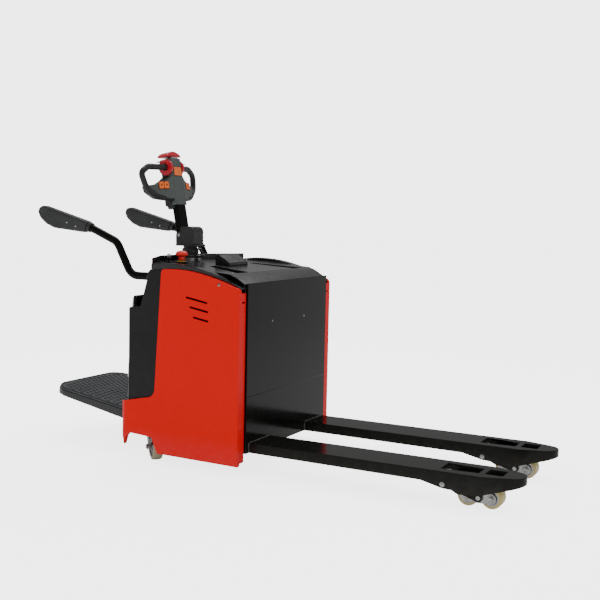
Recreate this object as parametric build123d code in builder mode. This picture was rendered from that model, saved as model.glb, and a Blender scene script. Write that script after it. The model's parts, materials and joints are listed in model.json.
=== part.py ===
from build123d import *
import os
from math import atan2, cos, degrees, hypot, radians, sin, tan

# Electric pallet truck: forks towards +X, operator platform towards -X, +Y to the truck's left, +Z up.
# The origin is on the floor below the fork heels. Millimetres, with the forks raised a little.

os.makedirs("parts", exist_ok=True)

# ---------------------------------------------------------------- driving dimensions: forks and lift
fork_length = 1150.0
fork_width = 178.0
fork_span = 685.0                # over both forks
fork_top = 135.0
fork_plate = 8.0                 # thickness of the fork's top
fork_skirt = 6.0                 # thickness of its sides
lift_down = 50.0
lift_up = 70.0

backrest_width = 730.0
backrest_top = 803.0
backrest_bottom = 92.0
backrest_plate = 8.0
backrest_return = 22.0

guide_y = 300.0                  # lift guide bars either side
guide_width = 30.0
guide_depth = 22.0
guide_gap = 2.0
cylinder_x = -45.0
cylinder_radius = 26.0
lift_rod_radius = 17.0

# ---------------------------------------------------------------- driving dimensions: load wheels
roller_radius = 41.0
roller_half = 33.0
roller_pitch = 93.0
roller_axle = 8.0
bogie_x = 980.0
yoke_pivot_x = 850.0
yoke_pivot_z = 84.0
yoke_pin = 10.0
sleeve_wall = 5.0
lever_pin = 4.5
lever_play = 4.6
eye_wall = 2.4
lever_gap = 1.5                  # between the push rod's eye and the yoke's sleeve
push_rod_radius = 8.0

# ---------------------------------------------------------------- driving dimensions: body
body_half = 400.0                # half the width over the black body shell
shell_wall = 4.0
shell_bottom = 130.0
shell_front = -62.0
shell_rear = -600.0
cover_stand = 20.0               # the red side covers stand this far off the shell
deck_line = [(-560, 860), (-470, 861), (-300, 856), (-92, 839), (-58, 826), (-16, 800)]  # top deck, X and Z
cover_sheet = 3.0
cover_low = 740.0                # lowest edge of the top cover
deck_bottom = 300.0
deck_plate = 12.0
frame_plate = 8.0
frame_half = 386.0
floor_z = 118.0
bulkhead_x = -395.0
shelf_z = 566.0
back_top = 706.0
back_bottom = 262.0

# ---------------------------------------------------------------- driving dimensions: drive and steering
column_x = -530.0
drive_radius = 115.0
drive_half = 35.0
motor_top = 520.0
motor_radius = 50.0
column_radius = 32.0
tiller_pivot_x = -570.0
tiller_pivot_z = 982.0
tiller_lean = 11.0
arm_width = 70.0
arm_depth = 30.0
handle_radius = 14.0

# ---------------------------------------------------------------- driving dimensions: operator's area
caster_x = -503.0
caster_y = 312.0
caster_trail = 36.0
caster_radius = 60.0
caster_half = 22.0
caster_turn = -41.0              # heading of the near caster's trail, from +X towards +Y
side_arm_y = 325.0
side_arm_z = 806.0
side_arm_tube = 17.5
platform_hinge_x = -684.0
platform_hinge_z = 158.0
platform_edge_x = -1150.0
platform_half = 250.0
platform_tilt = 8.8
platform_rise = 24.0             # tread height above the hinge axis, square to the deck
mat_thick = 8.0

# ---------------------------------------------------------------- clearances
running = 0.05                   # radial, pin in its bore
sliding = 0.3
seat = 0.2                       # between parts that are clamped together
rubbing = 1.0

SIDES = ((-1, "right"), (1, "left"))


def write(builder, name):
    """Label a finished piece and write its STEP file."""
    builder.part.label = name
    export_step(builder.part, f"parts/{name}.step")


def along_y(x, z, y=0.0):
    """A sketch plane across the truck: local x is +X, local y is +Z, and it extrudes towards -Y."""
    return Plane(origin=(x, y, z), x_dir=(1, 0, 0), z_dir=(0, -1, 0))


# ================================================================ forks
fork_y = (fork_span - fork_width) / 2
fork_heel_bottom = fork_top - 42
sleeve_radius = yoke_pin + sleeve_wall
eye_radius = lever_pin + lever_play + eye_wall
lever_length = sleeve_radius + eye_radius + lever_gap
lever_z = yoke_pivot_z + lever_length
nose_start = fork_length - 150
nose_mid = fork_length - 45
nose_half = fork_width / 2 - 30
hole_1_start, hole_1_end = yoke_pivot_x - 22, bogie_x - 4
hole_2_start, hole_2_end = bogie_x + 20, bogie_x + 88
hole_half = roller_half + 5
skirt_profile = [
    (-1, fork_heel_bottom),
    (yoke_pivot_x - 90, fork_heel_bottom - 4),
    (yoke_pivot_x, yoke_pivot_z - 15),
    (yoke_pivot_x + 36, yoke_pivot_z - 17),
    (yoke_pivot_x + 62, yoke_pivot_z - 30),
    (nose_start, yoke_pivot_z - 22),
    (nose_start + 55, yoke_pivot_z - 7),
    (fork_length + 1, fork_top - 31),
]


def fork_plan(inset):
    """The fork's outline in plan, as an arc-nosed closed line, inset from its edge."""
    half = fork_width / 2 - inset
    shoulder = nose_half - inset
    Polyline((nose_mid - inset, -shoulder), (nose_start, -half), (0, -half), (0, half),
             (nose_start, half), (nose_mid - inset, shoulder))
    ThreePointArc((nose_mid - inset, shoulder), (fork_length - inset, 0), (nose_mid - inset, -shoulder))


for side, word in SIDES:
    y0 = side * fork_y
    low = yoke_pivot_z - 40
    with BuildPart() as fork:
        with BuildSketch(Plane(origin=(0, y0, low))):
            with BuildLine():
                fork_plan(0)
            make_face()
        extrude(amount=fork_top - low)
        with BuildSketch(Plane(origin=(0, y0, low))):
            with BuildLine():
                fork_plan(fork_skirt)
            make_face()
        extrude(amount=fork_top - fork_plate - low, mode=Mode.SUBTRACT)
        # diaphragms that guide the push rod, and a closed heel
        for x in (3, 150, 420, 690):
            with Locations((x, y0, (fork_heel_bottom - 10 + fork_top - fork_plate) / 2)):
                Box(6, fork_width - 2 * fork_skirt, fork_top - fork_plate - fork_heel_bottom + 10)
        # the skirts' lower edge
        with BuildSketch(along_y(0, 0, y0)):
            with BuildLine():
                Polyline((-1, 0), *skirt_profile, (fork_length + 1, 0), close=True)
            make_face()
        extrude(amount=fork_width, both=True, mode=Mode.SUBTRACT)
        # openings that the load rollers rise into
        with BuildSketch(Plane(origin=(0, y0, fork_top))):
            with BuildLine():
                Polyline((hole_1_start, -hole_half - 10), (hole_1_end, -hole_half),
                         (hole_1_end, hole_half), (hole_1_start, hole_half + 10), close=True)
            make_face()
            with Locations(((hole_2_start + hole_2_end) / 2, 0)):
                Rectangle(hole_2_end - hole_2_start, 2 * hole_half)
        extrude(amount=-fork_plate - 1, mode=Mode.SUBTRACT)
        # bores for the push rod and the yoke pin
        with BuildSketch(Plane(origin=(-1, y0, lever_z), z_dir=(1, 0, 0))):
            Circle(push_rod_radius + 2 * sliding)
        extrude(amount=720, mode=Mode.SUBTRACT)
        with BuildSketch(along_y(yoke_pivot_x, yoke_pivot_z, y0)):
            Circle(yoke_pin)
        extrude(amount=fork_width, both=True, mode=Mode.SUBTRACT)
    write(fork, f"fork_{word}")

with BuildPart() as yoke_pins:
    for side, word in SIDES:
        with BuildSketch(along_y(yoke_pivot_x, yoke_pivot_z, side * fork_y)):
            Circle(yoke_pin)
        extrude(amount=fork_width / 2, both=True)
write(yoke_pins, "yoke_pins")

# ================================================================ load wheel yokes, bogies and rollers
bogie_z = roller_radius
plate_in = roller_half + 1.5
plate_out = plate_in + 6
cheek_in = plate_out + 1.5
cheek_out = cheek_in + 8
stub_radius = 9.0
eye_half = 6.0
lever_in = eye_half + 1
lever_out = lever_in + 7

for side, word in SIDES:
    y0 = side * fork_y
    with BuildPart() as yoke:
        with BuildSketch(along_y(yoke_pivot_x, yoke_pivot_z, y0)):
            Circle(sleeve_radius)
        extrude(amount=cheek_out, both=True)
        for cheek in (-1, 1):
            with BuildSketch(along_y(0, 0, y0 + cheek * (cheek_in + cheek_out) / 2)):
                with BuildLine():
                    CenterArc((yoke_pivot_x, yoke_pivot_z), sleeve_radius, 0, 360)
                make_face()
                with BuildLine():
                    CenterArc((bogie_x, bogie_z), stub_radius + 7, 0, 360)
                make_face()
                make_hull()
            extrude(amount=(cheek_out - cheek_in) / 2, both=True)
            with BuildSketch(along_y(0, 0, y0 + cheek * (lever_in + lever_out) / 2)):
                with Locations((yoke_pivot_x, yoke_pivot_z)):
                    Circle(sleeve_radius - 1)
                with Locations((yoke_pivot_x, lever_z)):
                    Circle(lever_pin + 4)
                make_hull()
            extrude(amount=(lever_out - lever_in) / 2, both=True)
        with BuildSketch(along_y(yoke_pivot_x, lever_z, y0)):
            Circle(lever_pin)
        extrude(amount=lever_out, both=True)
        with BuildSketch(along_y(yoke_pivot_x, yoke_pivot_z, y0)):
            Circle(yoke_pin + running)
        extrude(amount=cheek_out + 1, both=True, mode=Mode.SUBTRACT)
        with BuildSketch(along_y(bogie_x, bogie_z, y0)):
            Circle(stub_radius + running)
        extrude(amount=cheek_out + 1, both=True, mode=Mode.SUBTRACT)
    write(yoke, f"yoke_{word}")

    with BuildPart() as push_rod:
        with BuildSketch(Plane(origin=(30, y0, lever_z), z_dir=(1, 0, 0))):
            Circle(push_rod_radius)
        extrude(amount=yoke_pivot_x - 60)
        with BuildSketch(along_y(0, 0, y0)):
            with Locations((yoke_pivot_x, lever_z)):
                Circle(eye_radius)
            with Locations((yoke_pivot_x - 30, lever_z)):
                Circle(push_rod_radius)
            make_hull()
        extrude(amount=eye_half, both=True)
        with BuildSketch(along_y(yoke_pivot_x, lever_z, y0)):
            Circle(lever_pin + lever_play)
        extrude(amount=eye_half + 1, both=True, mode=Mode.SUBTRACT)
    write(push_rod, f"push_rod_{word}")

    with BuildPart() as bogie:
        for cheek in (-1, 1):
            with BuildSketch(along_y(bogie_x, bogie_z, y0 + cheek * (plate_in + plate_out) / 2)):
                SlotCenterToCenter(roller_pitch, 42)
                with Locations((0, 12)):
                    RectangleRounded(46, 30, 8)
            extrude(amount=(plate_out - plate_in) / 2, both=True)
            with BuildSketch(along_y(bogie_x, bogie_z, y0 + cheek * (plate_in + cheek_out) / 2)):
                Circle(stub_radius)
            extrude(amount=(cheek_out - plate_in) / 2 + 1, both=True)
        with BuildSketch(along_y(bogie_x, bogie_z + 20, y0)):
            Circle(5.5)
        extrude(amount=plate_in + 1, both=True)
        with BuildSketch(along_y(bogie_x, bogie_z, y0)):
            with Locations((-roller_pitch / 2, 0), (roller_pitch / 2, 0)):
                Circle(roller_axle)
        extrude(amount=plate_out + 1, both=True)
    write(bogie, f"bogie_{word}")

    for along, place in ((roller_pitch / 2, "front"), (-roller_pitch / 2, "rear")):
        with BuildPart() as roller:
            with BuildSketch(along_y(bogie_x + along, bogie_z, y0)):
                Circle(roller_radius)
            extrude(amount=roller_half, both=True)
            fillet(roller.edges().filter_by(GeomType.CIRCLE), 3)
            for cheek in (-1, 1):
                with BuildSketch(along_y(bogie_x + along, bogie_z, y0 + cheek * (roller_half - 1))):
                    Circle(roller_radius - 11)
                    Circle(roller_axle + 6, mode=Mode.SUBTRACT)
                extrude(amount=1, both=True, mode=Mode.SUBTRACT)
            with BuildSketch(along_y(bogie_x + along, bogie_z, y0)):
                Circle(roller_axle + running)
            extrude(amount=roller_half + 1, both=True, mode=Mode.SUBTRACT)
        write(roller, f"load_roller_{word}_{place}")

# ================================================================ load backrest with heel beams and guides
rod_seat_z = backrest_top - 240
guide_end = cover_low - lift_up - 6
with BuildPart() as load_backrest:
    with BuildSketch(Plane(origin=(0, 0, backrest_bottom), z_dir=(0, 0, 1))):
        with Locations((-backrest_plate / 2, 0)):
            Rectangle(backrest_plate, backrest_width)
    extrude(amount=backrest_top - backrest_bottom)
    # side returns and guide bars end where the raised plate would take them into the top cover
    with BuildSketch(Plane(origin=(0, 0, backrest_bottom), z_dir=(0, 0, 1))):
        for side, word in SIDES:
            with Locations((-backrest_return / 2, side * (backrest_width / 2 - backrest_plate / 2))):
                Rectangle(backrest_return, backrest_plate)
            with Locations((-backrest_plate - guide_depth / 2, side * guide_y)):
                Rectangle(guide_depth, guide_width)
    extrude(amount=guide_end - backrest_bottom)
    for side, word in SIDES:
        with Locations((-backrest_plate - 15, side * 165, backrest_bottom + 20)):
            Box(30, 170, 40)
    with Locations((cylinder_x, 0, rod_seat_z + 12)):
        Box(44, 70, 24)
    with Locations((-backrest_plate - 10, 0, rod_seat_z - 20)):
        Box(20, 12, 60)
write(load_backrest, "load_backrest")

barrel_bottom = floor_z + frame_plate
gusset_drop = 50.0               # how far the rod seat's gusset hangs below it
barrel_top = rod_seat_z - lift_down - gusset_drop - 14
with BuildPart() as lift_cylinder:
    with BuildSketch(Plane(origin=(cylinder_x, 0, barrel_bottom))):
        Circle(cylinder_radius)
    extrude(amount=barrel_top - barrel_bottom)
    with BuildSketch(Plane(origin=(cylinder_x, 0, barrel_bottom + 12))):
        Circle(lift_rod_radius + running)
    extrude(amount=barrel_top - barrel_bottom, mode=Mode.SUBTRACT)
    with BuildSketch(Plane(origin=(cylinder_x, 0, barrel_top))):
        Circle(cylinder_radius - 2)
        Circle(lift_rod_radius + running, mode=Mode.SUBTRACT)
    extrude(amount=8)
write(lift_cylinder, "lift_cylinder")

with BuildPart() as lift_rod:
    with BuildSketch(Plane(origin=(cylinder_x, 0, barrel_bottom + 12 + lift_down + 10))):
        Circle(lift_rod_radius)
    extrude(amount=rod_seat_z - (barrel_bottom + 12 + lift_down + 10))
write(lift_rod, "lift_rod")

# ================================================================ chassis frame
inner_web_y = 225.0
shelf_bottom = 2 * caster_radius + 24
post_out = guide_y + guide_width / 2 + guide_gap + 6
post_in = guide_y - guide_width / 2 - guide_gap - 6
post_back = -backrest_plate - guide_depth - 14
column_hole = motor_radius + 8
arm_post_x = -424.0
arm_post_top = side_arm_z + 30
deck_top = deck_bottom + deck_plate
bay_middle = (bulkhead_x + shell_rear + 10) / 2

with BuildPart() as chassis_frame:
    # battery floor, with a tongue under the lift cylinder and one under each guide post
    with BuildSketch(Plane.XY.offset(floor_z)):
        with Locations(((bulkhead_x + shell_front - 8) / 2, 0)):
            Rectangle(shell_front - 8 - bulkhead_x, 2 * frame_half)
        with Locations(((cylinder_x + shell_front) / 2, 0)):
            Rectangle(abs(shell_front - cylinder_x) + 60, 84)
        for side, word in SIDES:
            with Locations(((post_back + shell_front) / 2 - 2, side * guide_y)):
                Rectangle(abs(shell_front - post_back) + 16, 50)
    extrude(amount=frame_plate)
    # side walls
    with BuildSketch(Plane.XY.offset(floor_z)):
        for side, word in SIDES:
            with Locations(((bulkhead_x + shell_front - 8) / 2, side * (frame_half - frame_plate / 2))):
                Rectangle(shell_front - 8 - bulkhead_x, frame_plate)
        with Locations((bulkhead_x - frame_plate / 2, 0)):
            Rectangle(frame_plate, 2 * frame_half)
    extrude(amount=shelf_z + 6 - floor_z)
    # shelf over the battery
    with BuildSketch(Plane.XY.offset(shelf_z)):
        with Locations(((bulkhead_x + shell_front - 8) / 2, 0)):
            Rectangle(shell_front - 8 - bulkhead_x, 2 * frame_half)
    extrude(amount=6)
    # lift guide posts
    with BuildSketch(Plane.XY.offset(floor_z)):
        for side, word in SIDES:
            with Locations((post_back, side * guide_y)):
                Rectangle(6, post_out - post_in)
            with Locations((post_back + 15, side * (post_out - 3)), (post_back + 15, side * (post_in + 3))):
                Rectangle(30, 6)
    extrude(amount=backrest_top - 50 - floor_z)
    with Locations((post_back - 6, 0, backrest_top - 75)):
        Box(8, 2 * post_out, 40)
    # drive deck and its webs
    with BuildSketch(Plane.XY.offset(deck_bottom)):
        with Locations((bay_middle, 0)):
            Rectangle(bulkhead_x - shell_rear - 10, 2 * frame_half - 72)
        with Locations((column_x, 0)):
            Circle(column_hole + sliding, mode=Mode.SUBTRACT)
    extrude(amount=deck_plate)
    for side, word in SIDES:
        with Locations((arm_post_x + 4, side * side_arm_y, (deck_top + arm_post_top) / 2)):
            Box(8, 60, arm_post_top - deck_top)
        with Locations((bay_middle, side * inner_web_y, (shelf_bottom + deck_bottom) / 2 + 5)):
            Box(bulkhead_x - shell_rear - 10, frame_plate, deck_bottom - shelf_bottom)
        with BuildSketch(Plane.XY.offset(shelf_bottom)):
            with Locations(((bulkhead_x + shell_rear) / 2, side * (inner_web_y + frame_half - 20) / 2)):
                Rectangle(bulkhead_x - shell_rear, frame_half - 12 - inner_web_y)
            with Locations((caster_x, side * caster_y)):
                Circle(15 + sliding, mode=Mode.SUBTRACT)
        extrude(amount=10)
write(chassis_frame, "chassis_frame")

hinge_ear_x = platform_hinge_x - 20
with BuildPart() as platform_brackets:
    for side, word in SIDES:
        with BuildSketch(along_y(0, 0, side * (inner_web_y - frame_plate / 2 - 5.5))):
            with BuildLine():
                Polyline((shell_rear + 60, shelf_bottom + 18), (shell_rear + 60, back_bottom - 12),
                         (shell_rear - 14, back_bottom - 12), (platform_hinge_x + 32, platform_hinge_z + 28),
                         (hinge_ear_x, platform_hinge_z + 17), (hinge_ear_x, platform_hinge_z - 20),
                         (shell_rear - 10, shelf_bottom + 18), close=True)
            make_face()
        extrude(amount=5, both=True)
    with BuildSketch(along_y(platform_hinge_x, platform_hinge_z)):
        Circle(8)
    extrude(amount=inner_web_y + 8, both=True)
write(platform_brackets, "platform_brackets")

# ================================================================ body shell
upper_start = 672.0
rear_half = 150.0                # half the width of the flat at the back of the upper body
upper_corner = -520.0            # where the side panel ends, at the shoulder
top_corner = -462.0              # and at the top
lower_corner = -578.0
shell_top = 850.0
rail_points = [(-470, 864), (-398, 871), (-323, 870), (-250, 862), (-190, 850), (-130, 833), (-60, 806),
               (-12, 784)]
skirt_depth = 24.0


def rail_line(drop):
    """The top cover's curved side rail as a spline in X and Z, lowered by a drop."""
    Spline(*[(x, z - drop) for x, z in rail_points])


def body_plan(corner, flat_half, inset):
    """Body outline in plan: flat back, chamfered rear corners, inset from the outside."""
    half = body_half - inset
    back = shell_rear + inset
    reach = inset * 0.55
    Polyline((shell_front, -half), (corner + reach, -half), (back, -flat_half + reach),
             (back, flat_half - reach), (corner + reach, half), (shell_front, half), close=True)


with BuildPart() as body_shell:
    for inset, how in ((0, Mode.ADD), (shell_wall, Mode.SUBTRACT)):
        with BuildSketch(Plane.XY.offset(shell_bottom)) as lower:
            with BuildLine():
                body_plan(lower_corner, 350, inset)
            make_face()
        extrude(amount=upper_start - shell_bottom, mode=how)
        with BuildSketch(Plane.XY.offset(upper_start)):
            with BuildLine():
                body_plan(upper_corner, 230, inset)
            make_face()
        with BuildSketch(Plane.XY.offset(shell_top + 20)):
            with BuildLine():
                body_plan(top_corner, rear_half, inset)
            make_face()
        loft(mode=how)
    # a closed shoulder where the upper body steps in
    with BuildSketch(Plane.XY.offset(upper_start - shell_wall)):
        with BuildLine():
            body_plan(lower_corner, 350, 1)
        make_face()
        with BuildLine():
            body_plan(upper_corner, 230, shell_wall)
        make_face(mode=Mode.SUBTRACT)
    extrude(amount=shell_wall)
    # the top edge follows the top cover's skirt
    with BuildSketch(Plane.XZ) as above:
        with BuildLine():
            rail_line(skirt_depth)
            Polyline((rail_points[-1][0], rail_points[-1][1] - skirt_depth), (10, 740), (10, 960),
                     (-700, 960), (-700, rail_points[0][1] - skirt_depth),
                     (rail_points[0][0], rail_points[0][1] - skirt_depth))
        make_face()
    extrude(amount=2 * body_half, both=True, mode=Mode.SUBTRACT)
    # clearance at the wheels, and the back open below the deck
    with Locations(((shell_rear + bulkhead_x) / 2 - 10, 0, shell_bottom + 60)):
        Box(bulkhead_x - shell_rear + 40, 2 * body_half + 10, 132, mode=Mode.SUBTRACT)
    # side arm entries
    for side, word in SIDES:
        with BuildSketch(Plane(origin=(shell_rear - 20, side * side_arm_y, side_arm_z), z_dir=(1, 0, 0))):
            Circle(side_arm_tube + 12)
        extrude(amount=240, mode=Mode.SUBTRACT)
write(body_shell, "body_shell")

with BuildPart() as rear_cover:
    with BuildSketch(along_y(0, 0)):
        with BuildLine():
            Polyline((shell_rear, back_bottom), (shell_rear - 55, back_bottom), (shell_rear - 23, back_top),
                     (shell_rear, back_top + 14), close=True)
        make_face()
    extrude(amount=345, both=True)
    chamfer(rear_cover.edges().filter_by(lambda e: abs(e.center().X - shell_rear + 39) < 6 and
                                         abs(abs(e.center().Y) - 345) < 1), 30)
    with BuildSketch(along_y(0, 0)):
        with BuildLine():
            Polyline((shell_rear + 1, back_bottom + 5), (shell_rear - 50, back_bottom + 5),
                     (shell_rear - 18, back_top - 4), (shell_rear + 1, back_top), close=True)
        make_face()
    extrude(amount=312, both=True, mode=Mode.SUBTRACT)
write(rear_cover, "rear_cover")

# ================================================================ top cover
cover_wall = 4.0
deck_half = 366.0
upstand_top = 890.0
tray_rear, tray_front, tray_floor = -301.0, -92.0, 815.0
disc_hole = 54.0
estop_x, estop_y = -464.0, -168.0
key_x, key_y = -500.0, -215.0
estop_body, key_body = 18.0, 12.0


def top_plan(inset):
    """Top cover outline in plan."""
    half = body_half - inset
    reach = inset * 0.55
    front = rail_points[-1][0] - inset
    back = shell_rear + 6 + inset
    Polyline((front, -half), (top_corner + reach, -half), (back, -rear_half + reach),
             (back, rear_half - reach), (top_corner + reach, half), (front, half), close=True)


def sheet_line(line, thick):
    """A bent sheet seen from the side: a line in X and Z given a thickness downwards."""
    Polyline(*line, *[(x, z - thick) for x, z in reversed(line)], close=True)


with BuildPart() as top_cover:
    # centre deck, falling towards the forks
    with BuildSketch(Plane.XZ):
        with BuildLine():
            sheet_line([(shell_rear, 861)] + deck_line, 5)
        make_face()
    extrude(amount=deck_half, both=True)
    # side rails: a curved top, and an inner wall down to the deck
    for low, high, drop in ((deck_half - 4, body_half, 5), (deck_half - 4, deck_half, skirt_depth + 22),
                            (body_half - cover_wall, body_half, skirt_depth)):
        for side, word in SIDES:
            with BuildSketch(along_y(0, 0, side * (low + high) / 2)):
                with BuildLine():
                    rail_line(0)
                    rail_line(drop)
                    Line(rail_points[0], (rail_points[0][0], rail_points[0][1] - drop))
                    Line(rail_points[-1], (rail_points[-1][0], rail_points[-1][1] - drop))
                make_face()
            extrude(amount=(high - low) / 2, both=True)
    # rear corners beside the rails
    with BuildSketch(Plane.XY.offset(rail_points[0][1] - 5)):
        with Locations(((shell_rear + rail_points[0][0]) / 2, 0)):
            Rectangle(rail_points[0][0] - shell_rear, 2 * body_half)
    extrude(amount=5)
    # front wall under the deck's lip
    with BuildSketch(Plane.XY.offset(deck_line[-1][1] - 28)):
        with Locations((deck_line[-1][0] - 2, 0)):
            Rectangle(4, 2 * deck_half)
    extrude(amount=26)
    with BuildSketch(Plane.XY.offset(cover_low)):
        with BuildLine():
            top_plan(0)
        make_face()
    extrude(amount=upstand_top + 10 - cover_low, mode=Mode.INTERSECT)
    # upstand round the back of the deck, with the skirt below it
    with BuildSketch(Plane.XY.offset(rail_points[0][1] - skirt_depth)):
        with BuildLine():
            top_plan(0)
        make_face()
        with BuildLine():
            top_plan(cover_wall + 4)
        make_face(mode=Mode.SUBTRACT)
        Rectangle(2 * abs(rail_points[0][0]), 3 * body_half, mode=Mode.SUBTRACT)
    extrude(amount=upstand_top - rail_points[0][1] + skirt_depth)
    # slanted trays either side of the instrument pod
    for side, word in SIDES:
        for grow, bottom, top, how in ((3, tray_floor - 3, 850, Mode.ADD),
                                       (0, tray_floor, 880, Mode.SUBTRACT)):
            with BuildSketch(Plane.XY.offset(bottom)):
                with BuildLine():
                    back, front = tray_rear - grow, tray_front + grow
                    Polyline((back, side * (150 - grow)), (front, side * (200 - grow)),
                             (front, side * (300 + grow)), (back, side * (200 + grow)), close=True)
                make_face()
            extrude(amount=top - bottom, mode=how)
    with BuildSketch(Plane.XZ):
        with BuildLine():
            Polyline(*deck_line[1:], (10, 800), (10, 960), (-470, 960), close=True)
        make_face()
    extrude(amount=deck_half - 4, both=True, mode=Mode.SUBTRACT)
    # column, stop switch and key holes
    for x, y, radius in ((column_x, 0, disc_hole), (estop_x, estop_y, estop_body + seat),
                         (key_x, key_y, key_body + seat)):
        with BuildSketch(Plane.XY.offset(840)):
            with Locations((x, y)):
                Circle(radius)
        extrude(amount=40, mode=Mode.SUBTRACT)
write(top_cover, "top_cover")

pod_rear, pod_front, pod_half = -342.0, -266.0, 80.0
with BuildPart() as instrument_pod:
    with BuildSketch(Plane.XZ):
        with BuildLine():
            Polyline((pod_rear, 840), (pod_rear, 893), (pod_rear + 8, 901), (pod_rear + 20, 901),
                     (pod_front - 2, 868), (pod_front, 865), (pod_front, 840), close=True)
        make_face()
        with BuildLine():
            Polyline((shell_rear, 800), (shell_rear, 861), *deck_line[1:4], (-92, 800), close=True)
        make_face(mode=Mode.SUBTRACT)
    extrude(amount=pod_half, both=True)
    fillet(instrument_pod.edges().filter_by(Axis.Y).group_by(Axis.Z)[-1], 4)
    with BuildSketch(Plane(origin=(pod_rear, 0, 879), z_dir=(-1, 0, 0))):
        RectangleRounded(110, 22, 4)
    extrude(amount=-3, mode=Mode.SUBTRACT)
write(instrument_pod, "instrument_pod")

# ================================================================ red side covers
cover_front = -8.0
cover_top = [(-380, 848), (-312, 849), (-241, 843), (-138, 821), (-32, 787)]
cover_rear_x = -586.0


def cover_outline():
    """A side cover seen from the side: wheel arch, rear spur, waist and curved top."""
    Line((cover_front, 46), (-410, 51))
    Line((-410, 51), (-441, 119))
    Line((-441, 119), (-553, 126))
    ThreePointArc((-553, 126), (-570, 116), (-578, 100))
    Line((-578, 100), (cover_rear_x, 72))
    Line((cover_rear_x, 72), (cover_rear_x, 265))
    Line((cover_rear_x, 265), (-468, 290))
    ThreePointArc((-468, 290), (-438, 303), (-426, 337))
    Line((-426, 337), (-397, 832))
    ThreePointArc((-397, 832), (-392, 843), cover_top[0])
    ThreePointArc(*cover_top[0:3])
    ThreePointArc(*cover_top[2:5])
    ThreePointArc(cover_top[-1], (-14, 779), (cover_front, 764))
    Line((cover_front, 764), (cover_front, 46))


vent_slots = (((-266, 735), (-167, 717)), ((-247, 695), (-163, 680)), ((-229, 653), (-161, 641)))
screw_x, screw_z = -108.0, 796.0

for side, word in SIDES:
    inner = body_half + seat
    outer = body_half + cover_stand
    with BuildPart() as side_cover:
        with BuildSketch(along_y(0, 0, side * (inner + outer) / 2)):
            with BuildLine():
                cover_outline()
            make_face()
        extrude(amount=(outer - inner) / 2, both=True)
        with BuildSketch(along_y(0, 0, side * (inner + outer - cover_sheet) / 2)):
            with BuildLine():
                cover_outline()
            make_face()
            offset(amount=-cover_sheet, mode=Mode.REPLACE)
        extrude(amount=(outer - inner - cover_sheet) / 2, both=True, mode=Mode.SUBTRACT)
        # front return that faces the load
        fold_in = max(backrest_width, fork_span) / 2 + 3
        with Locations((cover_front - cover_sheet / 2, side * (outer + fold_in) / 2, (57 + 764) / 2)):
            Box(cover_sheet, outer - fold_in, 764 - 57)
        # rear lip, bent back and inwards
        with BuildSketch(Plane.XY.offset(72)):
            with BuildLine():
                Polyline((cover_rear_x + 1, side * outer), (cover_rear_x, side * outer),
                         (cover_rear_x - 18, side * (outer - 12)), (cover_rear_x - 16, side * (outer - 15)),
                         (cover_rear_x + 1, side * (outer - cover_sheet - 0.2)), close=True)
            make_face()
        extrude(amount=193)
        with BuildSketch(along_y(0, 0, side * outer)):
            with BuildLine():
                Polyline((cover_rear_x - 1, 60), (cover_rear_x - 1, 74), (cover_rear_x - 20, 112),
                         (cover_rear_x - 20, 60), close=True)
            make_face()
        extrude(amount=30, both=True, mode=Mode.SUBTRACT)
        # vent slots and the screw hole
        with BuildSketch(along_y(0, 0, side * outer)):
            for (x0, z0), (x1, z1) in vent_slots:
                with Locations(((x0 + x1) / 2, (z0 + z1) / 2)):
                    SlotCenterToCenter(hypot(x1 - x0, z1 - z0), 8, rotation=degrees(atan2(z1 - z0, x1 - x0)))
            with Locations((screw_x, screw_z)):
                Circle(3.2)
        extrude(amount=8, both=True, mode=Mode.SUBTRACT)
        with Locations((cover_front, side * (outer - 34), 726)):
            Box(20, 22, 6, mode=Mode.SUBTRACT)
    write(side_cover, f"side_cover_{word}")

with BuildPart() as cover_screws:
    for side, word in SIDES:
        with BuildSketch(along_y(screw_x, screw_z, side * (body_half + cover_stand + 1.5))):
            Circle(6.5)
        extrude(amount=1.5, both=True)
        with BuildSketch(along_y(screw_x, screw_z, side * (body_half + cover_stand - 6))):
            Circle(3)
        extrude(amount=7, both=True)
write(cover_screws, "cover_screws")

# ================================================================ what the body holds
battery_front = cylinder_x - cylinder_radius - 4
battery_rear = bulkhead_x + 10
with BuildPart() as battery:
    with BuildSketch(Plane.XY.offset(floor_z + frame_plate)):
        with Locations(((battery_front + battery_rear) / 2, 0)):
            RectangleRounded(battery_front - battery_rear, 660, 12)
    extrude(amount=400)
    for row in range(4):
        for column in range(6):
            with Locations(((battery_front + battery_rear) / 2 + 66 * (row - 1.5), 100 * (column - 2.5),
                            floor_z + frame_plate + 400 + 5)):
                Cylinder(14, 10)
    with Locations((battery_front - 30, -250, floor_z + frame_plate + 410),
                   (battery_front - 30, 250, floor_z + frame_plate + 410)):
        Box(30, 30, 20)
write(battery, "battery")

power_z = shelf_z + 6
with BuildPart() as power_pack:
    with Locations((-210, -150, power_z + 62)):
        Cylinder(58, 190, rotation=(90, 0, 0))
    with Locations((-210, -150, power_z + 12)):
        Box(90, 150, 24)
    with Locations((-210, -42, power_z + 62)):
        Box(80, 28, 80)
    with Locations((-210, 70, power_z + 60)):
        Box(150, 196, 120)
write(power_pack, "power_pack")

with BuildPart() as controller:
    with Locations((-335, 0, power_z + 4)):
        Box(80, 240, 8)
    with Locations((-335, 0, power_z + 48)):
        Box(60, 190, 80)
    for rib in range(9):
        with Locations((-335, 20 * (rib - 4), power_z + 92)):
            Box(60, 6, 10)
write(controller, "controller")

# ================================================================ steering
disc_z = 880.0
collar_z = 892.0
column_top = 940.0
neck_radius = 24.0
wheel_axle = 15.0

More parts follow.
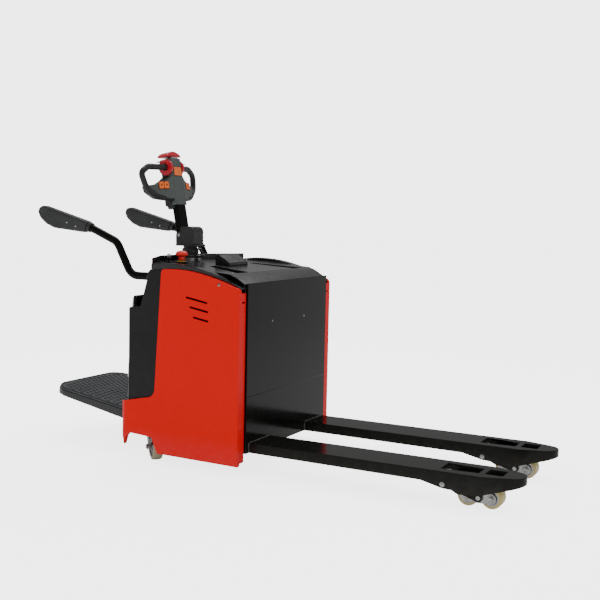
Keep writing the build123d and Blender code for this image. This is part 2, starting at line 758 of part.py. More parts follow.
with BuildPart() as steering_bearings:
    with BuildSketch(Plane.XY.offset(deck_bottom)):
        with Locations((column_x, 0)):
            Circle(column_hole)
            Circle(motor_radius + sliding, mode=Mode.SUBTRACT)
    extrude(amount=deck_plate + 6)
    with BuildSketch(Plane.XY.offset(856)):
        with Locations((column_x, 0)):
            Circle(disc_hole - seat)
            Circle(neck_radius + running, mode=Mode.SUBTRACT)
    extrude(amount=disc_z - 856 - 1)
write(steering_bearings, "steering_bearings")

with BuildPart() as drive_unit:
    gearbox_in = drive_half + 4
    gearbox_out = drive_half + 38
    gearbox_z = 2 * drive_radius + 3
    with BuildSketch(Plane.XY.offset(gearbox_z + 18)):
        with Locations((column_x, 0)):
            Circle(motor_radius)
    extrude(amount=motor_top - gearbox_z - 18)
    with BuildSketch(Plane.XY.offset(gearbox_z)):
        with Locations((column_x, (gearbox_out - 20) / 2)):
            RectangleRounded(120, gearbox_out + 20, 18)
    extrude(amount=20)
    with BuildSketch(along_y(0, 0, (gearbox_in + gearbox_out) / 2)):
        with Locations((column_x, drive_radius)):
            Circle(52)
        with Locations((column_x, gearbox_z + 6)):
            Rectangle(104, 24)
        make_hull()
    extrude(amount=(gearbox_out - gearbox_in) / 2, both=True)
    with BuildSketch(along_y(column_x, drive_radius, drive_half / 2)):
        Circle(wheel_axle)
    extrude(amount=drive_half * 1.5 + 6, both=True)
    with Locations((column_x, 0, 420)):
        with PolarLocations(motor_radius, 8, start_angle=20, rotate=False):
            Box(4, 4, 120)
write(drive_unit, "drive_unit")

with BuildPart() as drive_wheel:
    with BuildSketch(along_y(column_x, drive_radius)):
        Circle(drive_radius)
    extrude(amount=drive_half, both=True)
    fillet(drive_wheel.edges().filter_by(GeomType.CIRCLE), 5)
    for face in (-1, 1):
        with BuildSketch(along_y(column_x, drive_radius, face * (drive_half - 4))):
            Circle(drive_radius - 26)
            Circle(wheel_axle + 16, mode=Mode.SUBTRACT)
        extrude(amount=4, both=True, mode=Mode.SUBTRACT)
        with BuildSketch(along_y(column_x, drive_radius, face * drive_half)):
            with PolarLocations(60, 6):
                Circle(9)
        extrude(amount=24, both=True, mode=Mode.SUBTRACT)
    with BuildSketch(along_y(column_x, drive_radius)):
        Circle(wheel_axle + running)
    extrude(amount=drive_half + 1, both=True, mode=Mode.SUBTRACT)
write(drive_wheel, "drive_wheel")

hub_half = 42.0
hub_wall = 2.8
ear_out = hub_half - hub_wall - seat
ear_in = arm_width / 2 + rubbing
tiller_pin_radius = 8.0
hub_front, hub_rear = -486.0, -560.0
hub_bottom, hub_top = 941.0, 1022.0

with BuildPart() as steering_column:
    for radius, bottom, top in ((neck_radius, motor_top, disc_z), (49, disc_z, disc_z + 9),
                                (column_radius, disc_z + 9, column_top), (38, collar_z, collar_z + 30)):
        with BuildSketch(Plane.XY.offset(bottom)):
            with Locations((column_x, 0)):
                Circle(radius)
        extrude(amount=top - bottom)
    # lug on the disc for the cable conduit, and the base plate under the hub
    with Locations(((column_x - hub_front + 2 * hub_front + 34) / 2, 0, disc_z + 4.5)):
        Box(hub_front - column_x + 34, 26, 9)
    with Locations(((hub_rear - 26 + hub_front + 14) / 2, 0, column_top - 4)):
        Box(hub_front + 14 - hub_rear + 26, 2 * ear_out, 8)
    for side, word in SIDES:
        with BuildSketch(along_y(0, 0, side * (ear_in + ear_out) / 2)):
            with Locations((tiller_pivot_x, tiller_pivot_z)):
                Circle(16)
            with Locations((tiller_pivot_x + 30, column_top - 3)):
                Rectangle(90, 6)
            with Locations((hub_front - 26, tiller_pivot_z)):
                Circle(8)
            make_hull()
        extrude(amount=(ear_out - ear_in) / 2, both=True)
    with BuildSketch(along_y(tiller_pivot_x, tiller_pivot_z)):
        Circle(tiller_pin_radius)
    extrude(amount=60, both=True, mode=Mode.SUBTRACT)
write(steering_column, "steering_column")

with BuildPart() as tiller_pin:
    with BuildSketch(along_y(tiller_pivot_x, tiller_pivot_z)):
        Circle(tiller_pin_radius)
    extrude(amount=ear_out, both=True)
write(tiller_pin, "tiller_pin")

with BuildPart() as hub_cover:
    for inset, how in ((0, Mode.ADD), (hub_wall, Mode.SUBTRACT)):
        with BuildSketch(along_y(0, 0)):
            with BuildLine():
                FilletPolyline((hub_rear - inset, hub_bottom - inset), (hub_rear - inset, hub_top - inset),
                               (hub_front - inset, hub_top - inset), (hub_front - inset, hub_bottom - inset),
                               radius=[6, 24 - inset])
                Line((hub_front - inset, hub_bottom - inset), (hub_rear - inset, hub_bottom - inset))
            make_face()
        extrude(amount=hub_half - inset, both=True, mode=how)
    with BuildSketch(along_y(0, 0)):
        with Locations(((hub_rear + hub_front) / 2 - 6, (hub_bottom + hub_top) / 2 - 6)):
            Rectangle(hub_front - hub_rear, hub_top - hub_bottom, mode=Mode.ADD)
    extrude(amount=arm_width / 2 + rubbing, both=True, mode=Mode.SUBTRACT)
write(hub_cover, "hub_cover")

conduit_radius = 7.0
with BuildPart() as tiller_conduit:
    with BuildLine() as conduit_path:
        FilletPolyline((hub_front + 24, 0, disc_z + 9), (hub_front + 24, 0, disc_z + 20),
                       (hub_front + 5, 0, column_top - 20), (hub_front + 5, 0, column_top - 8),
                       radius=[20, 20])
    with BuildSketch(Plane(origin=(hub_front + 24, 0, disc_z + 9))):
        Circle(conduit_radius)
    sweep()
write(tiller_conduit, "tiller_conduit")

# ================================================================ tiller: arm, head, handles and controls
lean = radians(tiller_lean)
tiller_front = Vector(cos(lean), 0, sin(lean))
tiller_up = Vector(-sin(lean), 0, cos(lean))
pivot = Vector(tiller_pivot_x, 0, tiller_pivot_z)

head_bottom, head_top = 140.0, 358.0
head_front, head_split, head_back = 20.0, -5.0, -45.0
spine_top_half, spine_bottom_half = 38.0, 43.0
throttle_s, throttle_n = 318.0, -10.0
throttle_radius = 37.0
journal = handle_radius + sliding
cup_radius = journal + 4
wing_slope = 17.6


def on_tiller(n, y, s):
    """The point n forward of the tiller's axis, y to the left and s up from its pivot."""
    return pivot + tiller_front * n + tiller_up * s + Vector(0, y, 0)


def facing(n, y=0.0, s=0.0):
    """A sketch plane on the tiller: local x is +Y, local y runs up the arm, and it faces forward."""
    return Plane(origin=on_tiller(n, y, s), x_dir=(0, 1, 0), z_dir=tiller_front)


def across(y, n=0.0, s=0.0):
    """A sketch plane square to Y on the tiller: local x is forward, local y runs up the arm."""
    return Plane(origin=on_tiller(n, y, s), x_dir=tiller_front, z_dir=(0, -1, 0))


def upward(s, n=0.0, y=0.0):
    """A sketch plane square to the arm: local x is +Y, local y is backwards."""
    return Plane(origin=on_tiller(n, y, s), x_dir=(0, 1, 0), z_dir=tiller_up)


arm_end = head_bottom + 26
with BuildPart() as tiller_arm:
    with BuildSketch(upward(-15)):
        RectangleRounded(arm_width, arm_depth, 4)
        offset(amount=-3, kind=Kind.INTERSECTION, mode=Mode.SUBTRACT)
    extrude(amount=arm_end + 15)
    with BuildSketch(across(0)):
        Circle(tiller_pin_radius + 6)
    extrude(amount=arm_width / 2, both=True)
    with BuildSketch(across(0)):
        Circle(tiller_pin_radius + running)
    extrude(amount=arm_width, both=True, mode=Mode.SUBTRACT)
write(tiller_arm, "tiller_arm")


rake_start = 72.0                # the loop runs straight out to here, then leans back
handle_rake = 11.0
loop_corners = [(27, throttle_s), (rake_start, throttle_s), (160, throttle_s + 3), (208, 294), (190, 222),
                (132, 180), (41, 172)]
loop_radii = [40, 34, 26, 60, 50]


def loop_solid(side, radius):
    """The handle's tube, or with a larger radius the room that it needs."""
    points = []
    for y, up in loop_corners:
        back = throttle_n - tan(radians(handle_rake)) * max(y - rake_start, -36)
        points.append(on_tiller(back, side * y, up))
    points[0] = points[1] + Vector(0, side * (loop_corners[0][0] - rake_start), 0)
    with BuildPart(mode=Mode.PRIVATE) as tube:
        with BuildLine() as path:
            FilletPolyline(*points, radius=loop_radii)
        with BuildSketch(Plane(origin=path.line @ 0, z_dir=path.line % 0)):
            Circle(radius)
        sweep()
    return tube.part



def head_outline():
    """The head seen from the front: spine, with a wing either side that meets the handle."""
    right = [(0, head_bottom), (spine_bottom_half, head_bottom), (spine_bottom_half, 168), (120, 176),
             (172, 206), (180, 234), (112, 240), (64, 260), (spine_top_half + 1, 277),
             (spine_top_half, head_top), (0, head_top)]
    Polyline(*right, *[(-y, s) for y, s in reversed(right[1:-1])], close=True)


def head_section(points):
    """A band across the head, seen from above: the points of its right half, mirrored."""
    Polyline(*points, *[(-y, n) for y, n in reversed(points)], close=True)


drop = tan(radians(wing_slope))
wing_end = 190.0
cover_band = [(spine_top_half - 2, -head_front), (spine_top_half + 2, -head_front + 3),
              (wing_end, -head_front + 3 + drop * (wing_end - spine_top_half)),
              (wing_end, -head_split + 3 + drop * (wing_end - spine_top_half)),
              (spine_top_half, -head_split)]
base_band = [(spine_top_half, -head_split + seat),
             (wing_end, -head_split + 3 + seat + drop * (wing_end - spine_top_half)),
             (wing_end, -head_back + 22), (spine_top_half + 12, -head_back + 4),
             (spine_top_half, -head_back)]

button_width, button_height, button_travel = 25.0, 32.0, 2.5
button_pitch = 29.0
button_s = 232.0
button_well = 8.0


def button_plane(side, index):
    """The wing surface under a push button: local x is outwards along the slope, local y up the arm."""
    slope = radians(wing_slope)
    out = Vector(0, side * cos(slope), 0) - tiller_front * sin(slope)
    start = on_tiller(head_front - 3, side * (spine_top_half + 2), button_s)
    reach = 44 + button_pitch * index
    normal = Vector(0, side * sin(slope), 0) + tiller_front * cos(slope)
    return Plane(origin=start + out * reach, x_dir=out, z_dir=normal)


for name, band in (("head_cover", cover_band), ("head_base", base_band)):
    with BuildPart() as head_half:
        with BuildSketch(upward(head_bottom - 20)):
            with BuildLine():
                head_section(band)
            make_face()
        extrude(amount=head_top - head_bottom + 20)
        with BuildSketch(facing(-90)):
            with BuildLine():
                head_outline()
            make_face()
        extrude(amount=140, mode=Mode.INTERSECT)
        if name == "head_base":
            # skirt round the arm
            with BuildSketch(upward(head_bottom)):
                with Locations((0, 19)):
                    RectangleRounded(78, 42, 6)
            extrude(amount=-14)
        # room for the arm, the handles and the throttle
        with BuildSketch(upward(head_bottom - 30)):
            RectangleRounded(arm_width + 2 * seat, arm_depth + 2 * seat, 4)
        extrude(amount=arm_end - head_bottom + 30 + seat, mode=Mode.SUBTRACT)
        for side, word in SIDES:
            add(loop_solid(side, handle_radius + seat), mode=Mode.SUBTRACT)
        with BuildSketch(across(0, throttle_n, throttle_s)):
            Circle(cup_radius + sliding)
        extrude(amount=60, both=True, mode=Mode.SUBTRACT)
        if name == "head_base":
            # bore for the belly button's stem
            with BuildSketch(upward(head_top, -15)):
                Circle(6 + sliding)
            extrude(amount=-22, mode=Mode.SUBTRACT)
        else:
            # wells for the push buttons
            for side, word in SIDES:
                for index in (0, 1):
                    with BuildSketch(button_plane(side, index)):
                        RectangleRounded(button_width + 2 * sliding, button_height + 2 * sliding, 4)
                    extrude(amount=-button_well, mode=Mode.SUBTRACT)
    write(head_half, name)

for side, word in SIDES:
    for index, place in ((0, "inner"), (1, "outer")):
        with BuildPart() as button:
            with BuildSketch(button_plane(side, index).offset(button_travel + sliding - button_well)):
                RectangleRounded(button_width, button_height, 4)
            extrude(amount=button_well - button_travel - sliding + 4)
            outwards = Axis(button_plane(side, index).origin, button_plane(side, index).z_dir)
            fillet(button.faces().sort_by(outwards)[-1].edges(), 1.5)
        write(button, f"button_{word}_{place}")

with BuildPart() as handles:
    for side, word in SIDES:
        add(loop_solid(side, handle_radius))
write(handles, "handles")

with BuildPart() as throttle:
    with BuildSketch(across(0, throttle_n, throttle_s)):
        Circle(8)
    extrude(amount=21, both=True)
    for side, word in SIDES:
        with BuildSketch(across(side * 30, throttle_n, throttle_s)):
            Circle(cup_radius)
        extrude(amount=10, both=True)
        with BuildSketch(across(side * 46, throttle_n, throttle_s)):
            Circle(throttle_radius)
        extrude(amount=6, both=True)
        with BuildSketch(across(side * 33, throttle_n, throttle_s)):
            Circle(journal)
        extrude(amount=8, both=True, mode=Mode.SUBTRACT)
        with BuildSketch(across(side * 50, throttle_n, throttle_s)):
            Circle(journal)
        extrude(amount=20, both=True, mode=Mode.SUBTRACT)
        # thumb paddle above the handle
        with BuildSketch(across(side * 74, throttle_n, throttle_s)):
            with BuildLine():
                inner = CenterArc((0, 0), handle_radius + 7, 60, 50)
                outer = CenterArc((0, 0), handle_radius + 11, 60, 50)
                Line(inner @ 0, outer @ 0)
                Line(inner @ 1, outer @ 1)
            make_face()
        extrude(amount=30, both=True)
write(throttle, "throttle")

belly_travel = 7.5
with BuildPart() as belly_button:
    with BuildSketch(facing(-44)):
        with BuildLine():
            Line((-58, head_top + belly_travel + 0.5), (58, head_top + belly_travel + 0.5))
            Line((58, head_top + belly_travel + 0.5), (58, head_top + 14))
            ThreePointArc((58, head_top + 14), (0, head_top + 34), (-58, head_top + 14))
            Line((-58, head_top + 14), (-58, head_top + belly_travel + 0.5))
        make_face()
    extrude(amount=58)
    with BuildSketch(upward(head_top + 12, -15)):
        Circle(6)
    extrude(amount=-24)
write(belly_button, "belly_button")

# ================================================================ switches on the deck
with BuildPart() as switch_bodies:
    with BuildSketch(Plane.XY.offset(820)):
        with Locations((estop_x, estop_y)):
            Circle(18)
    extrude(amount=44)
    with BuildSketch(Plane.XY.offset(864)):
        with Locations((estop_x, estop_y)):
            Circle(22)
    extrude(amount=4)
    with BuildSketch(Plane.XY.offset(830)):
        with Locations((estop_x, estop_y)):
            Circle(10 + running)
    extrude(amount=60, mode=Mode.SUBTRACT)
    with BuildSketch(Plane.XY.offset(835)):
        with Locations((key_x, key_y)):
            Circle(12)
    extrude(amount=31)
    with BuildSketch(Plane.XY.offset(866)):
        with Locations((key_x, key_y)):
            Circle(15)
    extrude(amount=4)
    with BuildSketch(Plane.XY.offset(850)):
        with Locations((key_x, key_y)):
            Circle(5.6)
    extrude(amount=30, mode=Mode.SUBTRACT)
write(switch_bodies, "switch_bodies")

with BuildPart() as estop_button:
    with BuildSketch(Plane.XZ.offset(-estop_y)):
        with BuildLine():
            Polyline((estop_x, 840), (estop_x + 10, 840), (estop_x + 10, 875), (estop_x + 15.5, 875),
                     (estop_x + 15.5, 890), (estop_x + 26, 891), (estop_x + 28, 896))
            ThreePointArc((estop_x + 28, 896), (estop_x + 23, 908), (estop_x + 10, 915.5))
            Polyline((estop_x + 10, 915.5), (estop_x, 917), (estop_x, 840))
        make_face()
    revolve(axis=Axis((estop_x, estop_y, 0), (0, 0, 1)))
write(estop_button, "estop_button")

with BuildPart() as key:
    with BuildSketch(Plane.XY.offset(852)):
        with Locations((key_x, key_y)):
            Circle(5.2)
    extrude(amount=18.5)
    with BuildSketch(Plane.XY.offset(870.5)):
        with Locations((key_x, key_y)):
            Rectangle(7, 2.4)
    extrude(amount=12)
    with BuildSketch(Plane.XZ.offset(-key_y)):
        with Locations((key_x, 892)):
            Circle(12)
        with Locations((key_x, 896)):
            Circle(3, mode=Mode.SUBTRACT)
    extrude(amount=1.5, both=True)
write(key, "key")

# ================================================================ side arms
with BuildPart() as arm_sockets:
    for side, word in SIDES:
        with BuildSketch(Plane(origin=(arm_post_x, side * side_arm_y, side_arm_z), z_dir=(-1, 0, 0))):
            Circle(side_arm_tube + 9)
            Circle(side_arm_tube + running, mode=Mode.SUBTRACT)
        extrude(amount=92)
write(arm_sockets, "arm_sockets")

arm_bend_x, arm_bend_z = -702.0, 951.0
arm_rise = 120 / 298             # slope of the tube under the pad
arm_end_x = -888.0
pad_outline = [(-871, 987), (-1050, 1003), (-1095, 1020), (-1132, 1048), (-1146, 1076), (-1138, 1098),
               (-1114, 1106), (-852, 1036)]
pad_half = 23.0


def arm_height(x):
    """Height of the tube's centre line under the pad."""
    return arm_bend_z + (arm_bend_x - x) * arm_rise


for side, word in SIDES:
    y0 = side * side_arm_y
    arm_points = [(arm_post_x - 4, y0, side_arm_z), (-623, y0, side_arm_z), (arm_bend_x, y0, arm_bend_z),
                  (arm_end_x, y0, arm_height(arm_end_x))]
    with BuildPart() as arm_tube:
        with BuildLine():
            FilletPolyline(*arm_points, radius=[60, 60])
        with BuildSketch(Plane(origin=arm_points[0], z_dir=(-1, 0, 0))):
            Circle(side_arm_tube)
        sweep()
    write(arm_tube, f"arm_tube_{word}")

    with BuildPart(mode=Mode.PRIVATE) as tube_room:
        with BuildLine():
            Line((-800, y0, arm_height(-800)), (arm_end_x - 2, y0, arm_height(arm_end_x - 2)))
        with BuildSketch(Plane(origin=(-800, y0, arm_height(-800)), z_dir=(-1, 0, arm_rise))):
            Circle(side_arm_tube + seat)
        sweep()
    with BuildPart() as arm_pad:
        with BuildSketch(along_y(0, 0, y0)):
            with BuildLine():
                Polyline(*pad_outline, close=True)
            make_face()
        extrude(amount=pad_half, both=True)
        fillet(arm_pad.edges().filter_by(Axis.Y, reverse=True), 8)
        add(tube_room.part, mode=Mode.SUBTRACT)
    write(arm_pad, f"arm_pad_{word}")

# ================================================================ operator platform
tilt = radians(platform_tilt)
platform_out = Vector(-cos(tilt), 0, sin(tilt))
platform_up = Vector(sin(tilt), 0, cos(tilt))
hinge = Vector(platform_hinge_x, 0, platform_hinge_z)
platform_start = 18.0
platform_edge_low = -8.0          # the underside at the free edge
platform_length = (platform_hinge_x - platform_edge_x + platform_edge_low * sin(tilt)) / cos(tilt)
corner_radius = 90.0
ear_y = inner_web_y - frame_plate / 2 - 5.5
deck_up = platform_rise - mat_thick


def tread(height):
    """A plane parallel to the tread: local x is outwards from the hinge."""
    return Plane(origin=hinge + platform_up * height, x_dir=platform_out, z_dir=platform_up)


def tread_outline(inset):
    """The platform in plan: square at the hinge, round corners at the free edge."""
    near, far = platform_start + inset, platform_length - inset
    half = platform_half - inset
    FilletPolyline((near, -half), (far, -half), (far, half), (near, half),
                   radius=[corner_radius - inset, corner_radius - inset])
    Line((near, half), (near, -half))


with BuildPart() as platform_deck:
    with BuildSketch(tread(-24)):
        with BuildLine():
            tread_outline(0)
        make_face()
    extrude(amount=24 + deck_up)
    # underside: rises towards the free edge, and is open below
    with BuildSketch(Plane(origin=hinge, x_dir=platform_out, z_dir=Vector(0, 1, 0))):
        with BuildLine():
            Polyline((platform_start - 1, -25), (platform_start + 30, -24),
                     (platform_length + 1, platform_edge_low), (platform_length + 1, -40),
                     (platform_start - 1, -40), close=True)
        make_face()
    extrude(amount=platform_half + 10, both=True, mode=Mode.SUBTRACT)
    with BuildSketch(tread(-26)):
        with BuildLine():
            tread_outline(6)
        make_face()
    extrude(amount=22 + deck_up, mode=Mode.SUBTRACT)
    # cross ribs and hinge lugs
    for x in (130, 250, 370):
        with BuildSketch(tread(-6)):
            with Locations((x, 0)):
                Rectangle(6, 2 * platform_half - 12)
        extrude(amount=deck_up + 4)
    for side, word in SIDES:
        lug_middle = hinge + Vector(0, side * (ear_y - 14), 0)
        with BuildSketch(Plane(origin=lug_middle, x_dir=platform_out, z_dir=Vector(0, 1, 0))):
            Circle(15)
            with Locations((26, 0)):
                Rectangle(20, 20)
            make_hull()
        extrude(amount=7, both=True)
        with BuildSketch(tread(-30)):
            with Locations((platform_start, side * ear_y)):
                Rectangle(32, 14)
        extrude(amount=60, mode=Mode.SUBTRACT)
    with BuildSketch(along_y(platform_hinge_x, platform_hinge_z)):
        Circle(8 + running)
    extrude(amount=platform_half + 10, both=True, mode=Mode.SUBTRACT)
write(platform_deck, "platform_deck")

with BuildPart() as platform_mat:
    with BuildSketch(tread(deck_up)):
        with BuildLine():
            tread_outline(3)
        make_face()
        for side, word in SIDES:
            with Locations((platform_start, side * ear_y)):
                Rectangle(34, 15, mode=Mode.SUBTRACT)
    extrude(amount=mat_thick)
write(platform_mat, "platform_mat")

# ================================================================ stabiliser casters
caster_axle = 7.0
crown_z = 2 * caster_radius + 8
leg_in = caster_half + 5
leg_out = leg_in + 5

for side, word in SIDES:
    heading = radians(caster_turn * (1 if side < 0 else -1))
    trail = Vector(cos(heading), sin(heading), 0)
    axle = Vector(sin(heading), -cos(heading), 0)
    swivel = Vector(caster_x, side * caster_y, 0)

    with BuildPart() as caster_fork:
        for radius, bottom, top in ((36, crown_z, crown_z + 8), (26, crown_z + 8, shelf_bottom - 1),
                                    (15, crown_z + 8, shelf_bottom + 11),
                                    (20, shelf_bottom + 11, shelf_bottom + 19)):
            with BuildSketch(Plane.XY.offset(bottom)):
                with Locations((swivel.X, swivel.Y)):
                    Circle(radius)
            extrude(amount=top - bottom)
        for cheek in (-1, 1):
            middle = swivel + axle * cheek * (leg_in + leg_out) / 2
            with BuildSketch(Plane(origin=middle, x_dir=trail, z_dir=axle)):
                with Locations((0, crown_z + 4)):
                    Rectangle(50, 8)
                with Locations((caster_trail, caster_radius)):
                    Circle(14)
                make_hull()
            extrude(amount=(leg_out - leg_in) / 2, both=True)
        wheel_middle = swivel + trail * caster_trail + Vector(0, 0, caster_radius)
        with BuildSketch(Plane(origin=wheel_middle, x_dir=trail, z_dir=axle)):
            Circle(caster_axle)
        extrude(amount=leg_out + 4, both=True)
    write(caster_fork, f"caster_fork_{word}")

    hub = Plane(origin=swivel + trail * caster_trail + Vector(0, 0, caster_radius), x_dir=trail, z_dir=axle)
    with BuildPart() as caster_wheel:
        with BuildSketch(hub):
            Circle(caster_radius)
        extrude(amount=caster_half, both=True)
        fillet(caster_wheel.edges().filter_by(GeomType.CIRCLE), 4)
        for face in (-1, 1):
            with BuildSketch(hub.offset(face * caster_half)):
                Circle(caster_radius - 16)
                Circle(caster_axle + 9, mode=Mode.SUBTRACT)
            extrude(amount=3, both=True, mode=Mode.SUBTRACT)
        with BuildSketch(hub):
            Circle(caster_axle + running)
        extrude(amount=caster_half + 1, both=True, mode=Mode.SUBTRACT)
    write(caster_wheel, f"caster_wheel_{word}")
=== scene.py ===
"""Dresses a ride-on electric pallet truck: finishes for its parts, and the fine pieces fixed to them."""

import json
import logging
import math
from contextlib import contextmanager
from dataclasses import dataclass
from enum import Enum
from typing import Any, Callable, Iterator, Sequence

import bpy
from mathutils import Matrix, Vector
from mathutils.bvhtree import BVHTree

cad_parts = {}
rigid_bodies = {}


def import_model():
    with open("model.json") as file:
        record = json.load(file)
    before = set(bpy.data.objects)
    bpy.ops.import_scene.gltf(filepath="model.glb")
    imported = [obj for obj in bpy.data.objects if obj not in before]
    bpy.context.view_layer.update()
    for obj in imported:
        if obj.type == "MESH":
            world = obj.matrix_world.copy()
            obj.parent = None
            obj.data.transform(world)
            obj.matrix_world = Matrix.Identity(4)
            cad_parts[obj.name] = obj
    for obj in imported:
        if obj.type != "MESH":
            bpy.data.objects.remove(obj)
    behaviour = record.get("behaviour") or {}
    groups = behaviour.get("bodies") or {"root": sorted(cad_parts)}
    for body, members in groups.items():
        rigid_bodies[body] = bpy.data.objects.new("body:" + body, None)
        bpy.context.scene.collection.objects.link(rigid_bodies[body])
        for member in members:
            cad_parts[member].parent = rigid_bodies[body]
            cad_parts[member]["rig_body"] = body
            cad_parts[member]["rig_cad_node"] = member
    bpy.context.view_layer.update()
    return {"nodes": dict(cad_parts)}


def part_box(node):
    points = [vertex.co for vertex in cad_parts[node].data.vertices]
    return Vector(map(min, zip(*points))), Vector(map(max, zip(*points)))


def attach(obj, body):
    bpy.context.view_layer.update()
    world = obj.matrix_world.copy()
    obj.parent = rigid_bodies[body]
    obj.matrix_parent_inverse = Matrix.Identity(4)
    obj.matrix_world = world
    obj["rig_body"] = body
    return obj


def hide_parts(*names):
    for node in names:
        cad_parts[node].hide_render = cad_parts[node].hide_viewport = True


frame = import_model()

Point = tuple[float, float, float]
SIDES: tuple[tuple[int, str], ...] = ((-1, "right"), (1, "left"))
log = logging.getLogger("pallet_truck")


class Grain(Enum):
    """The small relief that a surface has."""

    SMOOTH = "smooth"
    ORANGE_PEEL = "orange_peel"
    MOULD = "mould"
    LEATHER = "leather"
    BRUSHED = "brushed"
    CAST = "cast"


@dataclass(frozen=True)
class Finish:
    """A finish: its colours, its gloss and the relief of its surface.

    Sizes of patterns are in repeats a metre, and depths are in metres.
    """

    name: str
    slot: str
    colour: tuple[float, float, float]
    shade: tuple[float, float, float]
    rough: float = 0.4
    rough_spread: float = 0.08
    metal: float = 0.0
    coat: float = 0.0
    specular: float = 0.5
    grain: Grain = Grain.SMOOTH
    grain_scale: float = 900.0
    grain_depth: float = 0.00005
    patches: float = 6.0
    mottle: float = 0.30
    dust: float = 0.0

    def material(self) -> bpy.types.Material:
        """Make the finish as a node material, once.

        Returns:
            The material, made on the first call and found again later.
        """
        found = bpy.data.materials.get(self.name)
        if found:
            return found
        made = bpy.data.materials.new(self.name)
        made.use_nodes = True
        tree = made.node_tree
        shader = tree.nodes["Principled BSDF"]
        shader.inputs["Metallic"].default_value = self.metal
        shader.inputs["Coat Weight"].default_value = self.coat
        shader.inputs["Coat Roughness"].default_value = 0.08
        shader.inputs["Specular IOR Level"].default_value = self.specular
        made.diffuse_color = (*self.colour, 1.0)
        place = tree.nodes.new("ShaderNodeTexCoord").outputs["Object"]
        patches = self._noise(tree, place, self.patches, 4.0)
        colour = self._mix(tree, patches, self.colour, self.shade, 0.35, 0.65)
        fine = self._noise(tree, place, self.patches * 14, 3.0)
        colour = self._blend(tree, self._range(tree, fine, 0.45, 0.75, 0.0, self.mottle), colour, self.shade)
        if self.dust > 0:
            colour = self._dusty(tree, place, colour)
        tree.links.new(colour, shader.inputs["Base Color"])
        smear = self._noise(tree, place, self.patches * 5, 5.0)
        rough = self._range(tree, smear, 0.3, 0.7, max(self.rough - self.rough_spread, 0.02),
                            self.rough + self.rough_spread)
        tree.links.new(rough, shader.inputs["Roughness"])
        height = self._relief(tree, place)
        if height is not None:
            bump = tree.nodes.new("ShaderNodeBump")
            bump.inputs["Strength"].default_value = 1.0
            bump.inputs["Distance"].default_value = self.grain_depth
            tree.links.new(height, bump.inputs["Height"])
            tree.links.new(bump.outputs["Normal"], shader.inputs["Normal"])
        return made

    @staticmethod
    def _noise(tree: Any, place: Any, scale: float, detail: float, stretch: Point = (1, 1, 1)) -> Any:
        """Add a noise pattern and return its value.

        Args:
            tree: The material's node tree.
            place: The coordinates that the pattern reads.
            scale: Repeats a metre.
            detail: How many finer layers it has.
            stretch: How much denser it is along X, Y and Z.

        Returns:
            The noise's value socket.
        """
        node = tree.nodes.new("ShaderNodeTexNoise")
        node.inputs["Scale"].default_value = scale
        node.inputs["Detail"].default_value = detail
        source = place
        if stretch != (1, 1, 1):
            mapping = tree.nodes.new("ShaderNodeMapping")
            mapping.inputs["Scale"].default_value = stretch
            tree.links.new(place, mapping.inputs["Vector"])
            source = mapping.outputs["Vector"]
        tree.links.new(source, node.inputs["Vector"])
        return node.outputs["Fac"]

    @staticmethod
    def _range(tree: Any, value: Any, low: float, high: float, to_low: float, to_high: float) -> Any:
        """Stretch a value from one range to another, and return it."""
        node = tree.nodes.new("ShaderNodeMapRange")
        for name, number in (("From Min", low), ("From Max", high), ("To Min", to_low), ("To Max", to_high)):
            node.inputs[name].default_value = number
        tree.links.new(value, node.inputs["Value"])
        return node.outputs["Result"]

    def _mix(self, tree: Any, value: Any, first: Point, second: Point, low: float, high: float) -> Any:
        """Return a colour between two, chosen by a value."""
        node = tree.nodes.new("ShaderNodeMix")
        node.data_type = "RGBA"
        node.inputs["A"].default_value = (*first, 1.0)
        node.inputs["B"].default_value = (*second, 1.0)
        tree.links.new(self._range(tree, value, low, high, 0.0, 1.0), node.inputs["Factor"])
        return node.outputs["Result"]

    @staticmethod
    def _blend(tree: Any, factor: Any, under: Any, over: Point) -> Any:
        """Lay a plain colour over another by a factor, and return the result."""
        node = tree.nodes.new("ShaderNodeMix")
        node.data_type = "RGBA"
        node.inputs["B"].default_value = (*over, 1.0)
        tree.links.new(under, node.inputs["A"])
        tree.links.new(factor, node.inputs["Factor"])
        return node.outputs["Result"]

    def _dusty(self, tree: Any, place: Any, colour: Any) -> Any:
        """Lay a little floor dust on the lowest part of a surface, and return the colour."""
        split = tree.nodes.new("ShaderNodeSeparateXYZ")
        tree.links.new(place, split.inputs["Vector"])
        low = self._range(tree, split.outputs["Z"], 0.0, 0.16, self.dust, 0.0)
        spots = self._noise(tree, place, 40.0, 6.0)
        both = tree.nodes.new("ShaderNodeMath")
        both.operation = "MULTIPLY"
        tree.links.new(low, both.inputs[0])
        tree.links.new(spots, both.inputs[1])
        return self._blend(tree, both.outputs["Value"], colour, (0.42, 0.39, 0.34))

    def _relief(self, tree: Any, place: Any) -> Any:
        """Return the height pattern that the grain asks for, or None if it is smooth."""
        if self.grain is Grain.SMOOTH:
            return None
        if self.grain is Grain.LEATHER:
            cells = tree.nodes.new("ShaderNodeTexVoronoi")
            cells.feature = "DISTANCE_TO_EDGE"
            cells.inputs["Scale"].default_value = self.grain_scale
            tree.links.new(place, cells.inputs["Vector"])
            return self._range(tree, cells.outputs["Distance"], 0.0, 0.25, 0.0, 1.0)
        stretch = (1.0, 1.0, 14.0) if self.grain is Grain.BRUSHED else (1, 1, 1)
        detail = 2.0 if self.grain is Grain.ORANGE_PEEL else 6.0
        return self._noise(tree, place, self.grain_scale, detail, stretch)


